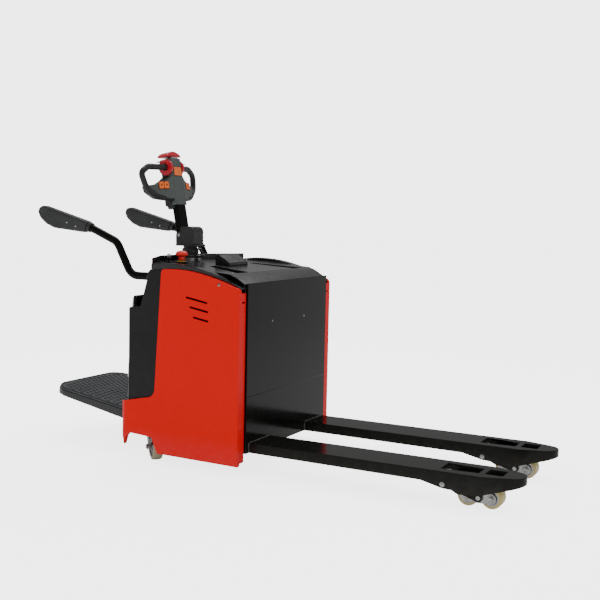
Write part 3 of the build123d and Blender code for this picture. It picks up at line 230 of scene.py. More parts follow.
RED = Finish(
    "red_enamel", "red_paint", (0.66, 0.0020, 0.0030), (0.64, 0.0018, 0.0028), 0.30, 0.04, specular=0.08,
    grain=Grain.ORANGE_PEEL, grain_scale=260, grain_depth=0.00001, patches=3.0, mottle=0.05, dust=0.12)
GLOSS_BLACK = Finish(
    "black_enamel", "black_gloss", (0.0026, 0.0031, 0.0024), (0.0040, 0.0046, 0.0036), 0.15, 0.04,
    specular=0.10, grain=Grain.ORANGE_PEEL, grain_scale=220, grain_depth=0.00003, patches=4.0, dust=0.12)
CHASSIS = Finish("chassis_enamel", "chassis_black", (0.012, 0.012, 0.013), (0.018, 0.018, 0.018), 0.32, 0.08,
                 grain=Grain.ORANGE_PEEL, grain_scale=300, grain_depth=0.00005, patches=5.0, dust=0.35)
SHELL = Finish("shell_plastic", "cover_black", (0.0035, 0.0035, 0.0037), (0.006, 0.006, 0.0065), 0.42, 0.08,
               specular=0.3, grain=Grain.MOULD, grain_scale=1400, grain_depth=0.00006, patches=5.0, dust=0.15)
DECK = Finish("deck_plastic", "cover_black", (0.005, 0.005, 0.0055), (0.008, 0.008, 0.0085), 0.22, 0.04,
              specular=0.6, grain=Grain.MOULD, grain_scale=1500, grain_depth=0.00002, patches=6.0, dust=0.1)
REAR = Finish("rear_gloss_plastic", "rear_gloss", (0.045, 0.047, 0.052), (0.060, 0.062, 0.068), 0.18, 0.05,
              coat=0.5, grain=Grain.ORANGE_PEEL, grain_scale=200, grain_depth=0.00003, patches=4.0, dust=0.1)
HEAD_GREY = Finish("head_grey_plastic", "head_grey", (0.074, 0.088, 0.080), (0.060, 0.072, 0.066), 0.48, 0.06,
                   specular=0.4, grain=Grain.MOULD, grain_scale=1800, grain_depth=0.00007, patches=12.0)
HEAD_BLACK = Finish(
    "head_black_plastic", "head_black", (0.010, 0.011, 0.010), (0.016, 0.017, 0.016), 0.45, 0.07,
    grain=Grain.MOULD, grain_scale=1800, grain_depth=0.00007, patches=12.0)
ORANGE = Finish("orange_plastic", "button_orange", (0.86, 0.16, 0.012), (0.74, 0.12, 0.010), 0.33, 0.05,
                grain=Grain.MOULD, grain_scale=2200, grain_depth=0.00003, patches=30.0)
CRIMSON = Finish(
    "crimson_plastic", "crimson", (0.52, 0.008, 0.022), (0.44, 0.006, 0.018), 0.30, 0.06, coat=0.2,
    grain=Grain.MOULD, grain_scale=2000, grain_depth=0.00003, patches=20.0)
STOP_RED = Finish(
    "stop_red_plastic", "estop_red", (0.78, 0.020, 0.012), (0.66, 0.014, 0.010), 0.28, 0.05, coat=0.3,
    grain=Grain.MOULD, grain_scale=2400, grain_depth=0.00002, patches=30.0)
GRIP = Finish("grip_rubber", "handle_black", (0.010, 0.010, 0.010), (0.018, 0.018, 0.017), 0.52, 0.08,
              grain=Grain.LEATHER, grain_scale=700, grain_depth=0.00015, patches=20.0)
PAD = Finish("pad_skin", "pad_black", (0.014, 0.015, 0.016), (0.024, 0.025, 0.026), 0.50, 0.07,
             grain=Grain.LEATHER, grain_scale=420, grain_depth=0.0003, patches=14.0)
MAT = Finish("mat_rubber", "mat_black", (0.040, 0.045, 0.050), (0.062, 0.068, 0.074), 0.55, 0.08,
             grain=Grain.CAST, grain_scale=600, grain_depth=0.00025, patches=9.0, dust=0.4)
STUD = Finish("stud_rubber", "mat_black", (0.012, 0.013, 0.014), (0.022, 0.023, 0.024), 0.45, 0.08,
              grain=Grain.CAST, grain_scale=900, grain_depth=0.0001, patches=15.0, dust=0.3)
TYRE_PU = Finish("load_tyre_urethane", "tyre_pu", (0.56, 0.44, 0.055), (0.44, 0.34, 0.060), 0.36, 0.10,
                 grain=Grain.CAST, grain_scale=500, grain_depth=0.00012, patches=24.0, dust=0.9)
TYRE_CASTER = Finish(
    "caster_tyre_urethane", "tyre_caster", (0.36, 0.30, 0.10), (0.24, 0.20, 0.09), 0.42, 0.10,
    grain=Grain.CAST, grain_scale=500, grain_depth=0.00012, patches=24.0, dust=0.9)
TYRE_DRIVE = Finish(
    "drive_tyre_rubber", "tyre_drive", (0.022, 0.021, 0.020), (0.040, 0.038, 0.035), 0.62, 0.10,
    grain=Grain.CAST, grain_scale=400, grain_depth=0.0002, patches=20.0, dust=0.9)
ZINC = Finish("zinc_plate", "zinc", (0.52, 0.53, 0.52), (0.36, 0.37, 0.36), 0.34, 0.12, metal=1.0,
              grain=Grain.CAST, grain_scale=350, grain_depth=0.00008, patches=45.0, dust=0.5)
STEEL = Finish("machined_steel", "steel", (0.50, 0.50, 0.50), (0.40, 0.40, 0.41), 0.28, 0.08, metal=1.0,
               grain=Grain.BRUSHED, grain_scale=500, grain_depth=0.00005, patches=30.0)
ROD = Finish("hard_chrome", "rod_chrome", (0.72, 0.72, 0.74), (0.62, 0.62, 0.64), 0.08, 0.03, metal=1.0,
             grain=Grain.BRUSHED, grain_scale=800, grain_depth=0.00001, patches=10.0)
ALLOY = Finish("cast_alloy", "alu", (0.42, 0.43, 0.44), (0.32, 0.33, 0.34), 0.46, 0.10, metal=1.0,
               grain=Grain.CAST, grain_scale=450, grain_depth=0.0002, patches=18.0)
BATTERY = Finish(
    "battery_case_plastic", "battery_case", (0.045, 0.055, 0.070), (0.060, 0.070, 0.085), 0.5, 0.08,
    grain=Grain.MOULD, grain_scale=900, grain_depth=0.0001, patches=8.0)
SLEEVE = Finish("conduit_rubber", "conduit_black", (0.008, 0.008, 0.008), (0.014, 0.014, 0.014), 0.45, 0.08,
                grain=Grain.MOULD, grain_scale=1500, grain_depth=0.00008, patches=30.0)
WELD = Finish("weld_metal", "zinc", (0.30, 0.29, 0.28), (0.16, 0.15, 0.15), 0.38, 0.12, metal=1.0,
              grain=Grain.CAST, grain_scale=700, grain_depth=0.0002, patches=60.0)
SCREEN = Finish(
    "screen_glass", "rear_gloss", (0.010, 0.014, 0.016), (0.014, 0.019, 0.021), 0.06, 0.02, coat=0.8,
    grain=Grain.ORANGE_PEEL, grain_scale=200, grain_depth=0.00001, patches=12.0)
YELLOW = Finish("yellow_plastic", "tyre_pu", (0.80, 0.52, 0.02), (0.70, 0.44, 0.02), 0.35, 0.06,
                grain=Grain.MOULD, grain_scale=2000, grain_depth=0.00003, patches=30.0)


def both_faces(side: Sequence[tuple[float, float]]) -> list[tuple[float, float]]:
    """Close a wheel's profile, which is written from its bore to its rim, with its mirror image."""
    back = [(radius, -height) for radius, height in reversed(side) if height]
    return [*side, *back, side[0]]


def mm(*corners: tuple[float, float]) -> list[tuple[float, float]]:
    """Return a profile that is written in millimetres in metres."""
    return [(radius / 1000, height / 1000) for radius, height in corners]


class Bench:
    """The modelling steps that every sub-assembly shares, each done with Blender's own operators."""

    @staticmethod
    def pick(*pieces: bpy.types.Object) -> None:
        """Select these pieces alone, and make the first one active."""
        bpy.ops.object.select_all(action="DESELECT")
        for piece in pieces:
            piece.select_set(True)
        bpy.context.view_layer.objects.active = pieces[0]

    @staticmethod
    def begin(kind: str, **settings: Any) -> bpy.types.Object:
        """Add a primitive with these settings, with nothing else selected, and return it."""
        bpy.ops.object.select_all(action="DESELECT")
        getattr(bpy.ops.mesh, f"primitive_{kind}_add")(**settings)
        return bpy.context.active_object

    @staticmethod
    @contextmanager
    def editing(select: str = "SELECT", mode: str = "VERT") -> Iterator[None]:
        """Edit the active piece's mesh inside the block.

        Args:
            select: What is selected at the start: SELECT for all, or KEEP for what was chosen before.
            mode: What is selected by: VERT or FACE.
        """
        bpy.ops.object.mode_set(mode="EDIT")
        bpy.ops.mesh.select_mode(type=mode)
        if select != "KEEP":
            bpy.ops.mesh.select_all(action=select)
        yield
        bpy.ops.object.mode_set(mode="OBJECT")

    @staticmethod
    def choose(piece: bpy.types.Object, wanted: Callable[[bpy.types.MeshPolygon], bool]) -> None:
        """Select only the faces of the active piece that pass a test."""
        bpy.ops.object.mode_set(mode="EDIT")
        bpy.ops.mesh.select_all(action="DESELECT")
        bpy.ops.object.mode_set(mode="OBJECT")
        for face in piece.data.polygons:
            face.select = wanted(face)

    @staticmethod
    def settle(piece: bpy.types.Object, name: str, angle: float = 35.0) -> bpy.types.Object:
        """Put a piece's place into its mesh, name it and smooth it.

        Args:
            piece: The piece, at its place.
            name: Its name from now on.
            angle: Edges sharper than this, in degrees, stay sharp.

        Returns:
            The same piece.
        """
        Bench.pick(piece)
        bpy.ops.object.transform_apply()
        bpy.ops.object.shade_smooth_by_angle(angle=math.radians(angle))
        piece.name = name
        piece.data.name = name
        return piece

    @staticmethod
    def apply(piece: bpy.types.Object, kind: str, **settings: Any) -> None:
        """Add a modifier of this kind with these settings, and apply it."""
        modifier = piece.modifiers.new(kind.lower(), kind)
        for key, value in settings.items():
            setattr(modifier, key, value)
        Bench.pick(piece)
        bpy.ops.object.modifier_apply(modifier=modifier.name)

    @staticmethod
    def join(name: str, pieces: Sequence[bpy.types.Object]) -> bpy.types.Object:
        """Join pieces into one, and name it."""
        Bench.pick(*pieces)
        if len(pieces) > 1:
            bpy.ops.object.join()
        return Bench.settle(pieces[0], name)

    @staticmethod
    def copy_at(piece: bpy.types.Object, move: Matrix) -> bpy.types.Object:
        """Copy a piece with a mesh of its own, and put the copy in place."""
        Bench.pick(piece)
        bpy.ops.object.duplicate(linked=False)
        made = bpy.context.active_object
        made.matrix_world = move @ made.matrix_world
        bpy.ops.object.transform_apply()
        return made

    @staticmethod
    def stand(direction: Sequence[float], place: Sequence[float], turn: float = 0.0) -> Matrix:
        """The move that stands a piece made on +Z along a direction, at a place.

        Args:
            direction: Where its own +Z goes.
            place: Where its own origin goes.
            turn: Degrees that it turns about its own +Z first.

        Returns:
            The move as a matrix.
        """
        turned = Vector(direction).to_track_quat("Z", "Y").to_matrix().to_4x4()
        return Matrix.Translation(Vector(place)) @ turned @ Matrix.Rotation(math.radians(turn), 4, "Z")

    @staticmethod
    def twin(node: str) -> bpy.types.Object:
        """A free copy of a CAD node, with its flat faces merged back into one face each."""
        Bench.pick(frame["nodes"][node])
        bpy.ops.object.duplicate(linked=False)
        made = bpy.context.active_object
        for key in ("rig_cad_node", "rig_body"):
            if key in made:
                del made[key]
        made.parent = None
        made.matrix_world = Matrix.Identity(4)
        made.data.materials.clear()
        with Bench.editing():
            bpy.ops.mesh.remove_doubles(threshold=0.00002)
            bpy.ops.mesh.dissolve_limited(angle_limit=math.radians(0.6))
        return made

    @staticmethod
    def eased(node: str, width: float, segments: int = 2, angle: float = 32.0) -> bpy.types.Object:
        """A copy of a CAD node whose hard edges are eased, to stand for it.

        The edges are eased as widely as asked, or less where a corner would stray off the node's surface.

        Args:
            node: The CAD node.
            width: The width of the eased edge, in metres.
            segments: How many steps round each edge.
            angle: Only edges sharper than this, in degrees, are eased.

        Returns:
            The copy.
        """
        source = frame["nodes"][node].data
        skin = BVHTree.FromPolygons(
            [v.co for v in source.vertices], [tuple(f.vertices) for f in source.polygons])
        for share in (1.0, 0.75, 0.55, 0.4, 0.25, 0.12):
            made = Bench.twin(node)
            Bench.apply(made, "BEVEL", width=width * share, segments=segments, limit_method="ANGLE",
                        angle_limit=math.radians(angle), use_clamp_overlap=False, miter_outer="MITER_ARC",
                        loop_slide=False)
            reach = 0.55 * width * share + 0.0001
            strays = [vertex for vertex in made.data.vertices if skin.find_nearest(vertex.co)[3] > reach]
            if all(skin.find_nearest(vertex.co)[3] < 0.0026 for vertex in strays):
                break
            bpy.data.objects.remove(made)
        else:
            made, strays, share = Bench.twin(node), [], 0.0
        for vertex in strays:
            vertex.co = skin.find_nearest(vertex.co)[0]
        log.info("%s eased by %.0f%% of %.1f mm", node, 100 * share, 1000 * width)
        Bench.settle(made, node + "_eased", 40.0)
        Bench.apply(made, "WEIGHTED_NORMAL", keep_sharp=True, weight=80)
        return made

    @staticmethod
    def turned(name: str, profile: Sequence[tuple[float, float]], direction: Sequence[float] = (0, 0, 1),
               place: Sequence[float] = (0, 0, 0), steps: int = 40, angle: float = 35.0) -> bpy.types.Object:
        """Turn a profile round an axis, as on a lathe.

        Args:
            name: The piece's name.
            profile: Its radius and height at each corner. It is closed if the last is the first.
            direction: Where its axis points.
            place: Where its axis starts.
            steps: Steps round the axis.
            angle: Edges sharper than this stay sharp.

        Returns:
            The piece.
        """
        piece = Bench.begin("plane", size=0.001)
        with Bench.editing():
            bpy.ops.mesh.merge(type="CENTER")
            bpy.ops.transform.translate(value=(profile[0][0], 0, profile[0][1]))
            for before, after in zip(profile, profile[1:]):
                step = (after[0] - before[0], 0, after[1] - before[1])
                bpy.ops.mesh.extrude_region_move(TRANSFORM_OT_translate={"value": step})
            bpy.ops.mesh.select_all(action="SELECT")
            bpy.ops.mesh.remove_doubles(threshold=0.000005)
            bpy.ops.mesh.select_all(action="SELECT")
            bpy.ops.mesh.spin(steps=steps, angle=math.tau, center=(0, 0, 0), axis=(0, 0, 1))
            bpy.ops.mesh.select_all(action="SELECT")
            bpy.ops.mesh.remove_doubles(threshold=0.000005)
            bpy.ops.mesh.normals_make_consistent(inside=False)
        piece.matrix_world = Bench.stand(direction, place)
        return Bench.settle(piece, name, angle)

    @staticmethod
    def block(name: str, size: Point, place: Sequence[float], ease: float = 0.001,
              move: Matrix | None = None) -> bpy.types.Object:
        """A block with eased edges, centred at a place.

        Args:
            name: The piece's name.
            size: Its size along X, Y and Z.
            place: Its centre.
            ease: The width of its eased edges.
            move: Where it then goes, if it isn't square to the frame.

        Returns:
            The piece.
        """
        piece = Bench.begin("cube", size=1.0, location=place)
        piece.scale = size
        bpy.ops.object.transform_apply()
        Bench.apply(piece, "BEVEL", width=ease, segments=3, limit_method="ANGLE")
        if move is not None:
            piece.matrix_world = move
        return Bench.settle(piece, name)

    @staticmethod
    def hose(name: str, points: Sequence[Sequence[float]], radius: float) -> bpy.types.Object:
        """A round bar along a smooth line, as a closed mesh.

        Args:
            name: The piece's name.
            points: The line's points.
            radius: The bar's radius.

        Returns:
            The piece.
        """
        curve = bpy.data.curves.new(name, "CURVE")
        curve.dimensions = "3D"
        curve.bevel_depth = radius
        curve.bevel_resolution = 5
        curve.use_fill_caps = True
        line = curve.splines.new("NURBS")
        line.points.add(len(points) - 1)
        for point, place in zip(line.points, points):
            point.co = (*place, 1.0)
        line.order_u = 3
        line.use_endpoint_u = True
        piece = bpy.data.objects.new(name, curve)
        bpy.context.scene.collection.objects.link(piece)
        Bench.pick(piece)
        bpy.ops.object.convert(target="MESH")
        return Bench.settle(bpy.context.active_object, name)

    @staticmethod
    def hex_bolt(radius: float, height: float) -> bpy.types.Object:
        """A hexagon head on a washer, standing on the origin along +Z.

        Args:
            radius: Half the width across the corners.
            height: The head's height.

        Returns:
            The bolt head.
        """
        head = Bench.begin("cylinder", vertices=6, radius=radius, depth=height,
                           location=(0, 0, height / 2 + radius * 0.16))
        bpy.ops.object.transform_apply()
        Bench.choose(head, lambda face: face.normal.z > 0.9)
        with Bench.editing("KEEP", "FACE"):
            bpy.ops.mesh.inset(thickness=radius * 0.18, depth=radius * 0.08)
            bpy.ops.mesh.inset(thickness=radius * 0.12, depth=-radius * 0.05)
        Bench.apply(head, "BEVEL", width=radius * 0.06, segments=2, limit_method="ANGLE")
        washer = Bench.turned("washer", [(0.0, 0.0), (radius * 1.35, 0.0), (radius * 1.35, radius * 0.1),
                                         (radius * 1.25, radius * 0.18), (0.0, radius * 0.18)], steps=28)
        return Bench.join("hex_bolt", [head, washer])

    @staticmethod
    def socket_screw(radius: float) -> bpy.types.Object:
        """A domed screw head with a six-sided socket, standing on the origin along +Z."""
        dome = Bench.turned(
            "dome", [(radius * 0.42, radius * 0.55), (radius * 0.62, radius * 0.52), (radius * 0.88,
            radius * 0.30), (radius, 0.02 * radius), (radius, -0.0002), (0.0, -0.0002)], steps=30)
        well = Bench.begin("cylinder", vertices=6, radius=radius * 0.42, depth=radius * 0.5,
                           end_fill_type="NGON", location=(0, 0, radius * 0.30))
        with Bench.editing():
            bpy.ops.mesh.flip_normals()
        Bench.choose(well, lambda face: face.center.z > radius * 0.2)
        with Bench.editing("KEEP"):
            bpy.ops.mesh.delete(type="FACE")
        return Bench.join("socket_screw", [dome, well])

    @staticmethod
    def spread(name: str, pattern: bpy.types.Object, moves: Sequence[Matrix]) -> bpy.types.Object:
        """Copy one piece to many places and join the copies. The pattern itself is removed.

        Args:
            name: The joined piece's name.
            pattern: The piece that is copied.
            moves: Where each copy goes.

        Returns:
            The joined piece.
        """
        copies = [Bench.copy_at(pattern, move) for move in moves]
        bpy.data.objects.remove(pattern)
        return Bench.join(name, copies)


def wear(piece: bpy.types.Object, finish: Finish, body: str, *nodes: str) -> bpy.types.Object:
    """Give a new piece its finish and its body, and hide the CAD nodes that it stands for.

    Args:
        piece: The piece.
        finish: Its finish.
        body: The CAD body that it moves with.
        nodes: CAD nodes that it stands for.

    Returns:
        The same piece.
    """
    piece.data.materials.clear()
    piece.data.materials.append(finish.material())
    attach(piece, body)
    if nodes:
        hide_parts(*nodes)
    log.info("%s: %s, on %s", piece.name, finish.name, body)
    return piece


def dress(finish: Finish, *nodes: str) -> None:
    """Give CAD nodes that stay a finish."""
    for node in nodes:
        piece = frame["nodes"][node]
        piece.data.materials.clear()
        piece.data.materials.append(finish.material())
        log.info("%s: %s", node, finish.name)


@dataclass
class ForkPair:
    """The two forks with their heel welds, pins and load wheels."""

    spread: float = 0.2535
    half_width: float = 0.089
    top: float = 0.135
    pin_x: float = 0.850
    pin_z: float = 0.084
    bogie_x: float = 0.980
    wheel_z: float = 0.041
    wheel_pitch: float = 0.093
    wheel_radius: float = 0.041
    wheel_half: float = 0.033
    nut_out: float = 0.0412
    tyre_play: float = 0.0004
    bead: float = 0.004

    def build(self) -> None:
        """Make and dress all the pieces of the forks."""
        for side, word in SIDES:
            wear(Bench.eased(f"fork_{word}", 0.0022, 3), GLOSS_BLACK, "carriage", f"fork_{word}")
            self.heel_weld(side, word)
            self.pin_ends(side, word)
            self.load_wheels(side, word)
            self.bogie_nuts(side, word)
        dress(GLOSS_BLACK, "yoke_right", "yoke_left")
        dress(ZINC, "push_rod_right", "push_rod_left", "yoke_pins")

    def heel_weld(self, side: int, word: str) -> None:
        """Run a rippled weld bead along the fork's heel, across its top and down its sides."""
        drop = Bench.begin("ico_sphere", subdivisions=2, radius=self.bead)
        bpy.ops.transform.resize(value=(0.9, 0.62, 0.62))
        bpy.ops.object.transform_apply()
        moves = []
        middle = side * self.spread
        for step in range(52):
            y = middle - self.half_width + 0.004 + step * (2 * self.half_width - 0.008) / 51
            sway = 0.0004 * math.sin(step * 2.1)
            moves.append(Matrix.Translation((0.0016 + sway, y, self.top + 0.0004)))
        for edge in (-1, 1):
            for step in range(10):
                moves.append(
                    Matrix.Translation((0.0016, middle + edge * (self.half_width + 0.0004),
                    self.top - 0.003 - step * 0.0036)) @ Matrix.Rotation(1.57, 4, "X"))
        wear(Bench.spread(f"heel_weld_{word}", drop, moves), WELD, "carriage")

    def pin_ends(self, side: int, word: str) -> None:
        """Put a snap ring and a grease nipple on each end of the yoke pin."""
        ring = Bench.turned(
            "ring", mm((0, 0), (8.5, 0), (9.8, -0.8), (9.8, 0.2), (7.5, 1.2), (3, 1.2), (2.6, 4),
            (3.4, 5.5), (0, 6.2)), steps=28)
        moves = [
            Bench.stand((0, edge, 0), (self.pin_x, side * self.spread + edge * self.half_width,
            self.pin_z)) for edge in (-1, 1)]
        wear(Bench.spread(f"pin_ends_{word}", ring, moves), ZINC, "carriage")

    def load_wheels(self, side: int, word: str) -> None:
        """Make each load wheel from its urethane tyre and its steel hub."""
        r, h = self.wheel_radius - self.tyre_play, self.wheel_half
        for place, along in (("front", self.wheel_pitch / 2), ("rear", -self.wheel_pitch / 2)):
            centre = (self.bogie_x + along, side * self.spread, self.wheel_z)
            tyre = Bench.turned(
                f"load_tyre_{word}_{place}", both_faces([(r - 0.011, -h + 0.0005), (r - 0.006, -h),
                (r - 0.0028, -h + 0.0006), (r - 0.0007, -h + 0.0035), (r, -h + 0.009)]), (0, 1, 0), centre,
                56)
            wear(tyre, TYRE_PU, f"load_roller_{word}_{place}", f"load_roller_{word}_{place}")
            hub = Bench.turned(f"load_hub_{word}_{place}", both_faces([
                (0.0084, -h + 0.001), (0.014, -h + 0.001), (0.015, -h + 0.003), (0.022, -h + 0.0036),
                (0.024, -h + 0.0012), (r - 0.011, -h + 0.0008)]), (0, 1, 0), centre, 48)
            wear(hub, STEEL, f"load_roller_{word}_{place}")

    def bogie_nuts(self, side: int, word: str) -> None:
        """Bevel the bogie plates and put a nut on each end of each wheel axle."""
        wear(Bench.eased(f"bogie_{word}", 0.0012, 2), ZINC, f"bogie_{word}", f"bogie_{word}")
        moves = []
        for along in (-self.wheel_pitch / 2, self.wheel_pitch / 2):
            for edge in (-1, 1):
                moves.append(
                    Bench.stand((0, edge, 0), (self.bogie_x + along,
                    side * self.spread + edge * self.nut_out, self.wheel_z), 11.0 * edge))
        wear(Bench.spread(f"bogie_nuts_{word}", Bench.hex_bolt(0.0115, 0.006), moves), ZINC, f"bogie_{word}")


@dataclass
class Backrest:
    """The load backrest plate, its rivets and the seam across it."""

    rivets: tuple[tuple[float, float], ...] = ((-0.155, 0.633), (0.139, 0.631))
    seam_z: float = 0.330
    half_width: float = 0.362

    def build(self) -> None:
        """Make and dress the plate and what is fixed to it."""
        wear(Bench.eased("load_backrest", 0.0016, 3), GLOSS_BLACK, "carriage", "load_backrest")
        dress(ROD, "lift_rod")
        head = Bench.turned(
            "rivet", mm((0, 2.2), (2.2, 1.9), (3.8, 1), (4.4, 0), (4.4, -0.3), (0, -0.3)), steps=24)
        moves = [Bench.stand((1, 0, 0), (0.0, y, z)) for y, z in self.rivets]
        wear(Bench.spread("backrest_rivets", head, moves), ZINC, "carriage")
        seam = Bench.block(
            "backrest_seam", (0.0006, 2 * self.half_width, 0.0022), (0.0001, 0.0, self.seam_z), 0.0002)
        wear(seam, GLOSS_BLACK, "carriage")


@dataclass
class Body:
    """The body's panels: shell, rear cover, red side covers and what they carry."""

    cover_out: float = 0.4188
    screw_x: float = -0.108
    screw_z: float = 0.796
    rear_screws: tuple[tuple[float, float], ...] = ((0.290, 0.315), (0.290, 0.655))
    rear_lean: float = 0.032
    frame_size: Point = (0.36, 0.46, 1.0)
    frame_corner: float = 0.03
    frame_lift: float = 0.01

    def build(self) -> None:
        """Make and dress the panels."""
        wear(Bench.eased("body_shell", 0.0016, 2), SHELL, "chassis", "body_shell")
        wear(Bench.eased("rear_cover", 0.004, 4), REAR, "chassis", "rear_cover")
        for side, word in SIDES:
            wear(Bench.eased(f"side_cover_{word}", 0.0011, 3), RED, "chassis", f"side_cover_{word}")
        moves = [Bench.stand((0, side, 0), (self.screw_x, side * self.cover_out, self.screw_z), 15)
                 for side, word in SIDES]
        wear(Bench.spread("side_screws", Bench.socket_screw(0.0072), moves), ZINC, "chassis", "cover_screws")
        self.rear_fixings()
        dress(CHASSIS, "chassis_frame", "platform_brackets", "arm_sockets")
        dress(ALLOY, "power_pack", "controller", "drive_unit")
        dress(STEEL, "lift_cylinder", "steering_bearings")

    def rear_fixings(self) -> None:
        """Put the rear cover's screws and its raised pad frame on it."""
        low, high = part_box("rear_cover")
        lean = math.atan2(self.rear_lean, high.z - low.z)
        outward = Vector((-math.cos(lean), 0, math.sin(lean)))
        moves = []
        for y, z in self.rear_screws:
            x = low.x + (z - low.z) * math.tan(lean)
            for edge in (-1, 1):
                moves.append(Bench.stand(outward, (x, edge * y, z)))
        wear(Bench.spread("rear_screws", Bench.socket_screw(0.0065), moves), ZINC, "chassis")
        middle = 0.5 * (low.z + high.z) + self.frame_lift
        x = low.x + (middle - low.z) * math.tan(lean)
        panel = Bench.begin("plane", size=1.0)
        panel.scale = self.frame_size
        bpy.ops.object.transform_apply()
        Bench.apply(panel, "BEVEL", width=self.frame_corner, segments=6, affect="VERTICES")
        with Bench.editing():
            bpy.ops.mesh.extrude_region_move(TRANSFORM_OT_translate={"value": (0, 0, 0.003)})
            bpy.ops.mesh.inset(thickness=0.006, depth=0.002)
            bpy.ops.mesh.inset(thickness=0.012, depth=-0.002)
        panel.matrix_world = Bench.stand(outward, (x + 0.001, 0, middle))
        wear(Bench.settle(panel, "rear_pad_frame"), SHELL, "chassis")


@dataclass
class Deck:
    """The top cover with its instrument pod, stop switch and key."""

    stop: tuple[float, float] = (-0.464, -0.168)
    key: tuple[float, float] = (-0.500, -0.215)
    pod_rear: float = -0.342
    pod_half: float = 0.080
    ribs: int = 7

    def build(self) -> None:
        """Make and dress the deck and its switches."""
        wear(Bench.eased("top_cover", 0.0018, 3), DECK, "chassis", "top_cover")
        wear(Bench.eased("instrument_pod", 0.002, 3), DECK, "chassis", "instrument_pod")
        self.pod_details()
        self.stop_switch()
        self.key_switch()
        self.deck_screws()

    def pod_details(self) -> None:
        """Put the ribs on the pod's sides and the display in its rear."""
        bars = []
        for side, word in SIDES:
            for index in range(self.ribs):
                x = self.pod_rear + 0.013 + index * 0.0088
                high = 0.893 - max(0.0, (x + 0.322) * 0.61)
                low = 0.8555
                bars.append(Bench.block("rib", (0.0032, 0.004, high - low),
                                        (x, side * (self.pod_half + 0.0008), (low + high) / 2), 0.0008))
        wear(Bench.join("pod_ribs", bars), DECK, "chassis")
        glass = Bench.block("pod_display", (0.0022, 0.104, 0.018), (self.pod_rear + 0.0018, 0, 0.879), 0.0008)
        wear(glass, SCREEN, "chassis")
        bars = [
            Bench.block("bar", (0.0012, 0.0075, 0.009), (self.pod_rear + 0.0006, -0.032 + 0.0105 * index,
            0.879), 0.0004) for index in range(6)]
        wear(Bench.join("pod_charge_bars", bars), YELLOW, "chassis")
        lip = Bench.hose(
            "pod_barrel", [(self.pod_rear + 0.012, y, 0.8935) for y in (-0.078, -0.03, 0.03, 0.078)],
            0.0075)
        wear(lip, DECK, "chassis")

    def stop_switch(self) -> None:
        """Make the mushroom button, its neck, and the yellow collar below it."""
        x, y = self.stop
        head = Bench.turned(
            "stop_head", [(0.0, 0.046), (0.010, 0.0453), (0.018, 0.0430), (0.0240, 0.0392),
            (0.0272, 0.0340), (0.0278, 0.0285), (0.0262, 0.0235), (0.0225, 0.0215), (0.0165, 0.0205),
            (0.0150, 0.0180), (0.0152, 0.0080), (0.0146, 0.0040), (0.0, 0.0040)], (0, 0, 1), (x, y, 0.871),
            64, 28)
        wear(head, STOP_RED, "estop_button", "estop_button")
        flutes = []
        for index in range(24):
            turn = Matrix.Translation((x, y, 0.8995)) @ Matrix.Rotation(math.tau * index / 24, 4, "Z")
            flutes.append(Bench.block("flute", (0.0016, 0.0022, 0.008), (0.0272, 0, 0), 0.0005, turn))
        wear(Bench.join("stop_flutes", flutes), STOP_RED, "estop_button")
        collar = Bench.turned(
            "stop_collar", mm((17, 7.8), (21.5, 7.8), (25.8, 6), (26.8, 3), (26.8, 0), (17, 0), (17, 7.8)),
            (0, 0, 1), (x, y, 0.8612), 56)
        wear(collar, SHELL, "chassis")
        ring = Bench.turned(
            "stop_ring", mm((17.2, 0), (21.2, 0), (20.8, 1.2), (17.6, 1.2), (17.2, 0)), (0, 0, 1), (x, y,
            0.8688), 56)
        wear(ring, YELLOW, "chassis", "switch_bodies")

    def key_switch(self) -> None:
        """Make the key's round bow, blade and barrel ring."""
        x, y = self.key
        wear(Bench.eased("key", 0.0006, 2), STEEL, "key", "key")
        barrel = Bench.turned(
            "key_barrel", mm((5.8, 0), (5.8, 10), (10, 10.8), (14, 9), (15.5, 4), (15.5, 0), (5.8, 0)),
            (0, 0, 1), (x, y, 0.8600), 48)
        wear(barrel, SHELL, "chassis")
        cap = Bench.turned(
            "key_cap", mm((0, 15), (6, 14.6), (8.5, 12), (8.5, 4), (6.2, 0), (0, 0)), (0, 0, 1), (x, y,
            0.8715), 32)
        wear(cap, SHELL, "key")

    def deck_screws(self) -> None:
        """Sink screws along the deck's edges."""
        spots = [
            (-0.09, 0.345, 0.8388), (-0.09, -0.345, 0.8388), (-0.43, 0.345, 0.8602),
            (-0.43, -0.345, 0.8602)]
        moves = [Bench.stand((0.06, 0, 1), spot, 20) for spot in spots]
        wear(Bench.spread("deck_screws", Bench.socket_screw(0.0050), moves), ZINC, "chassis")


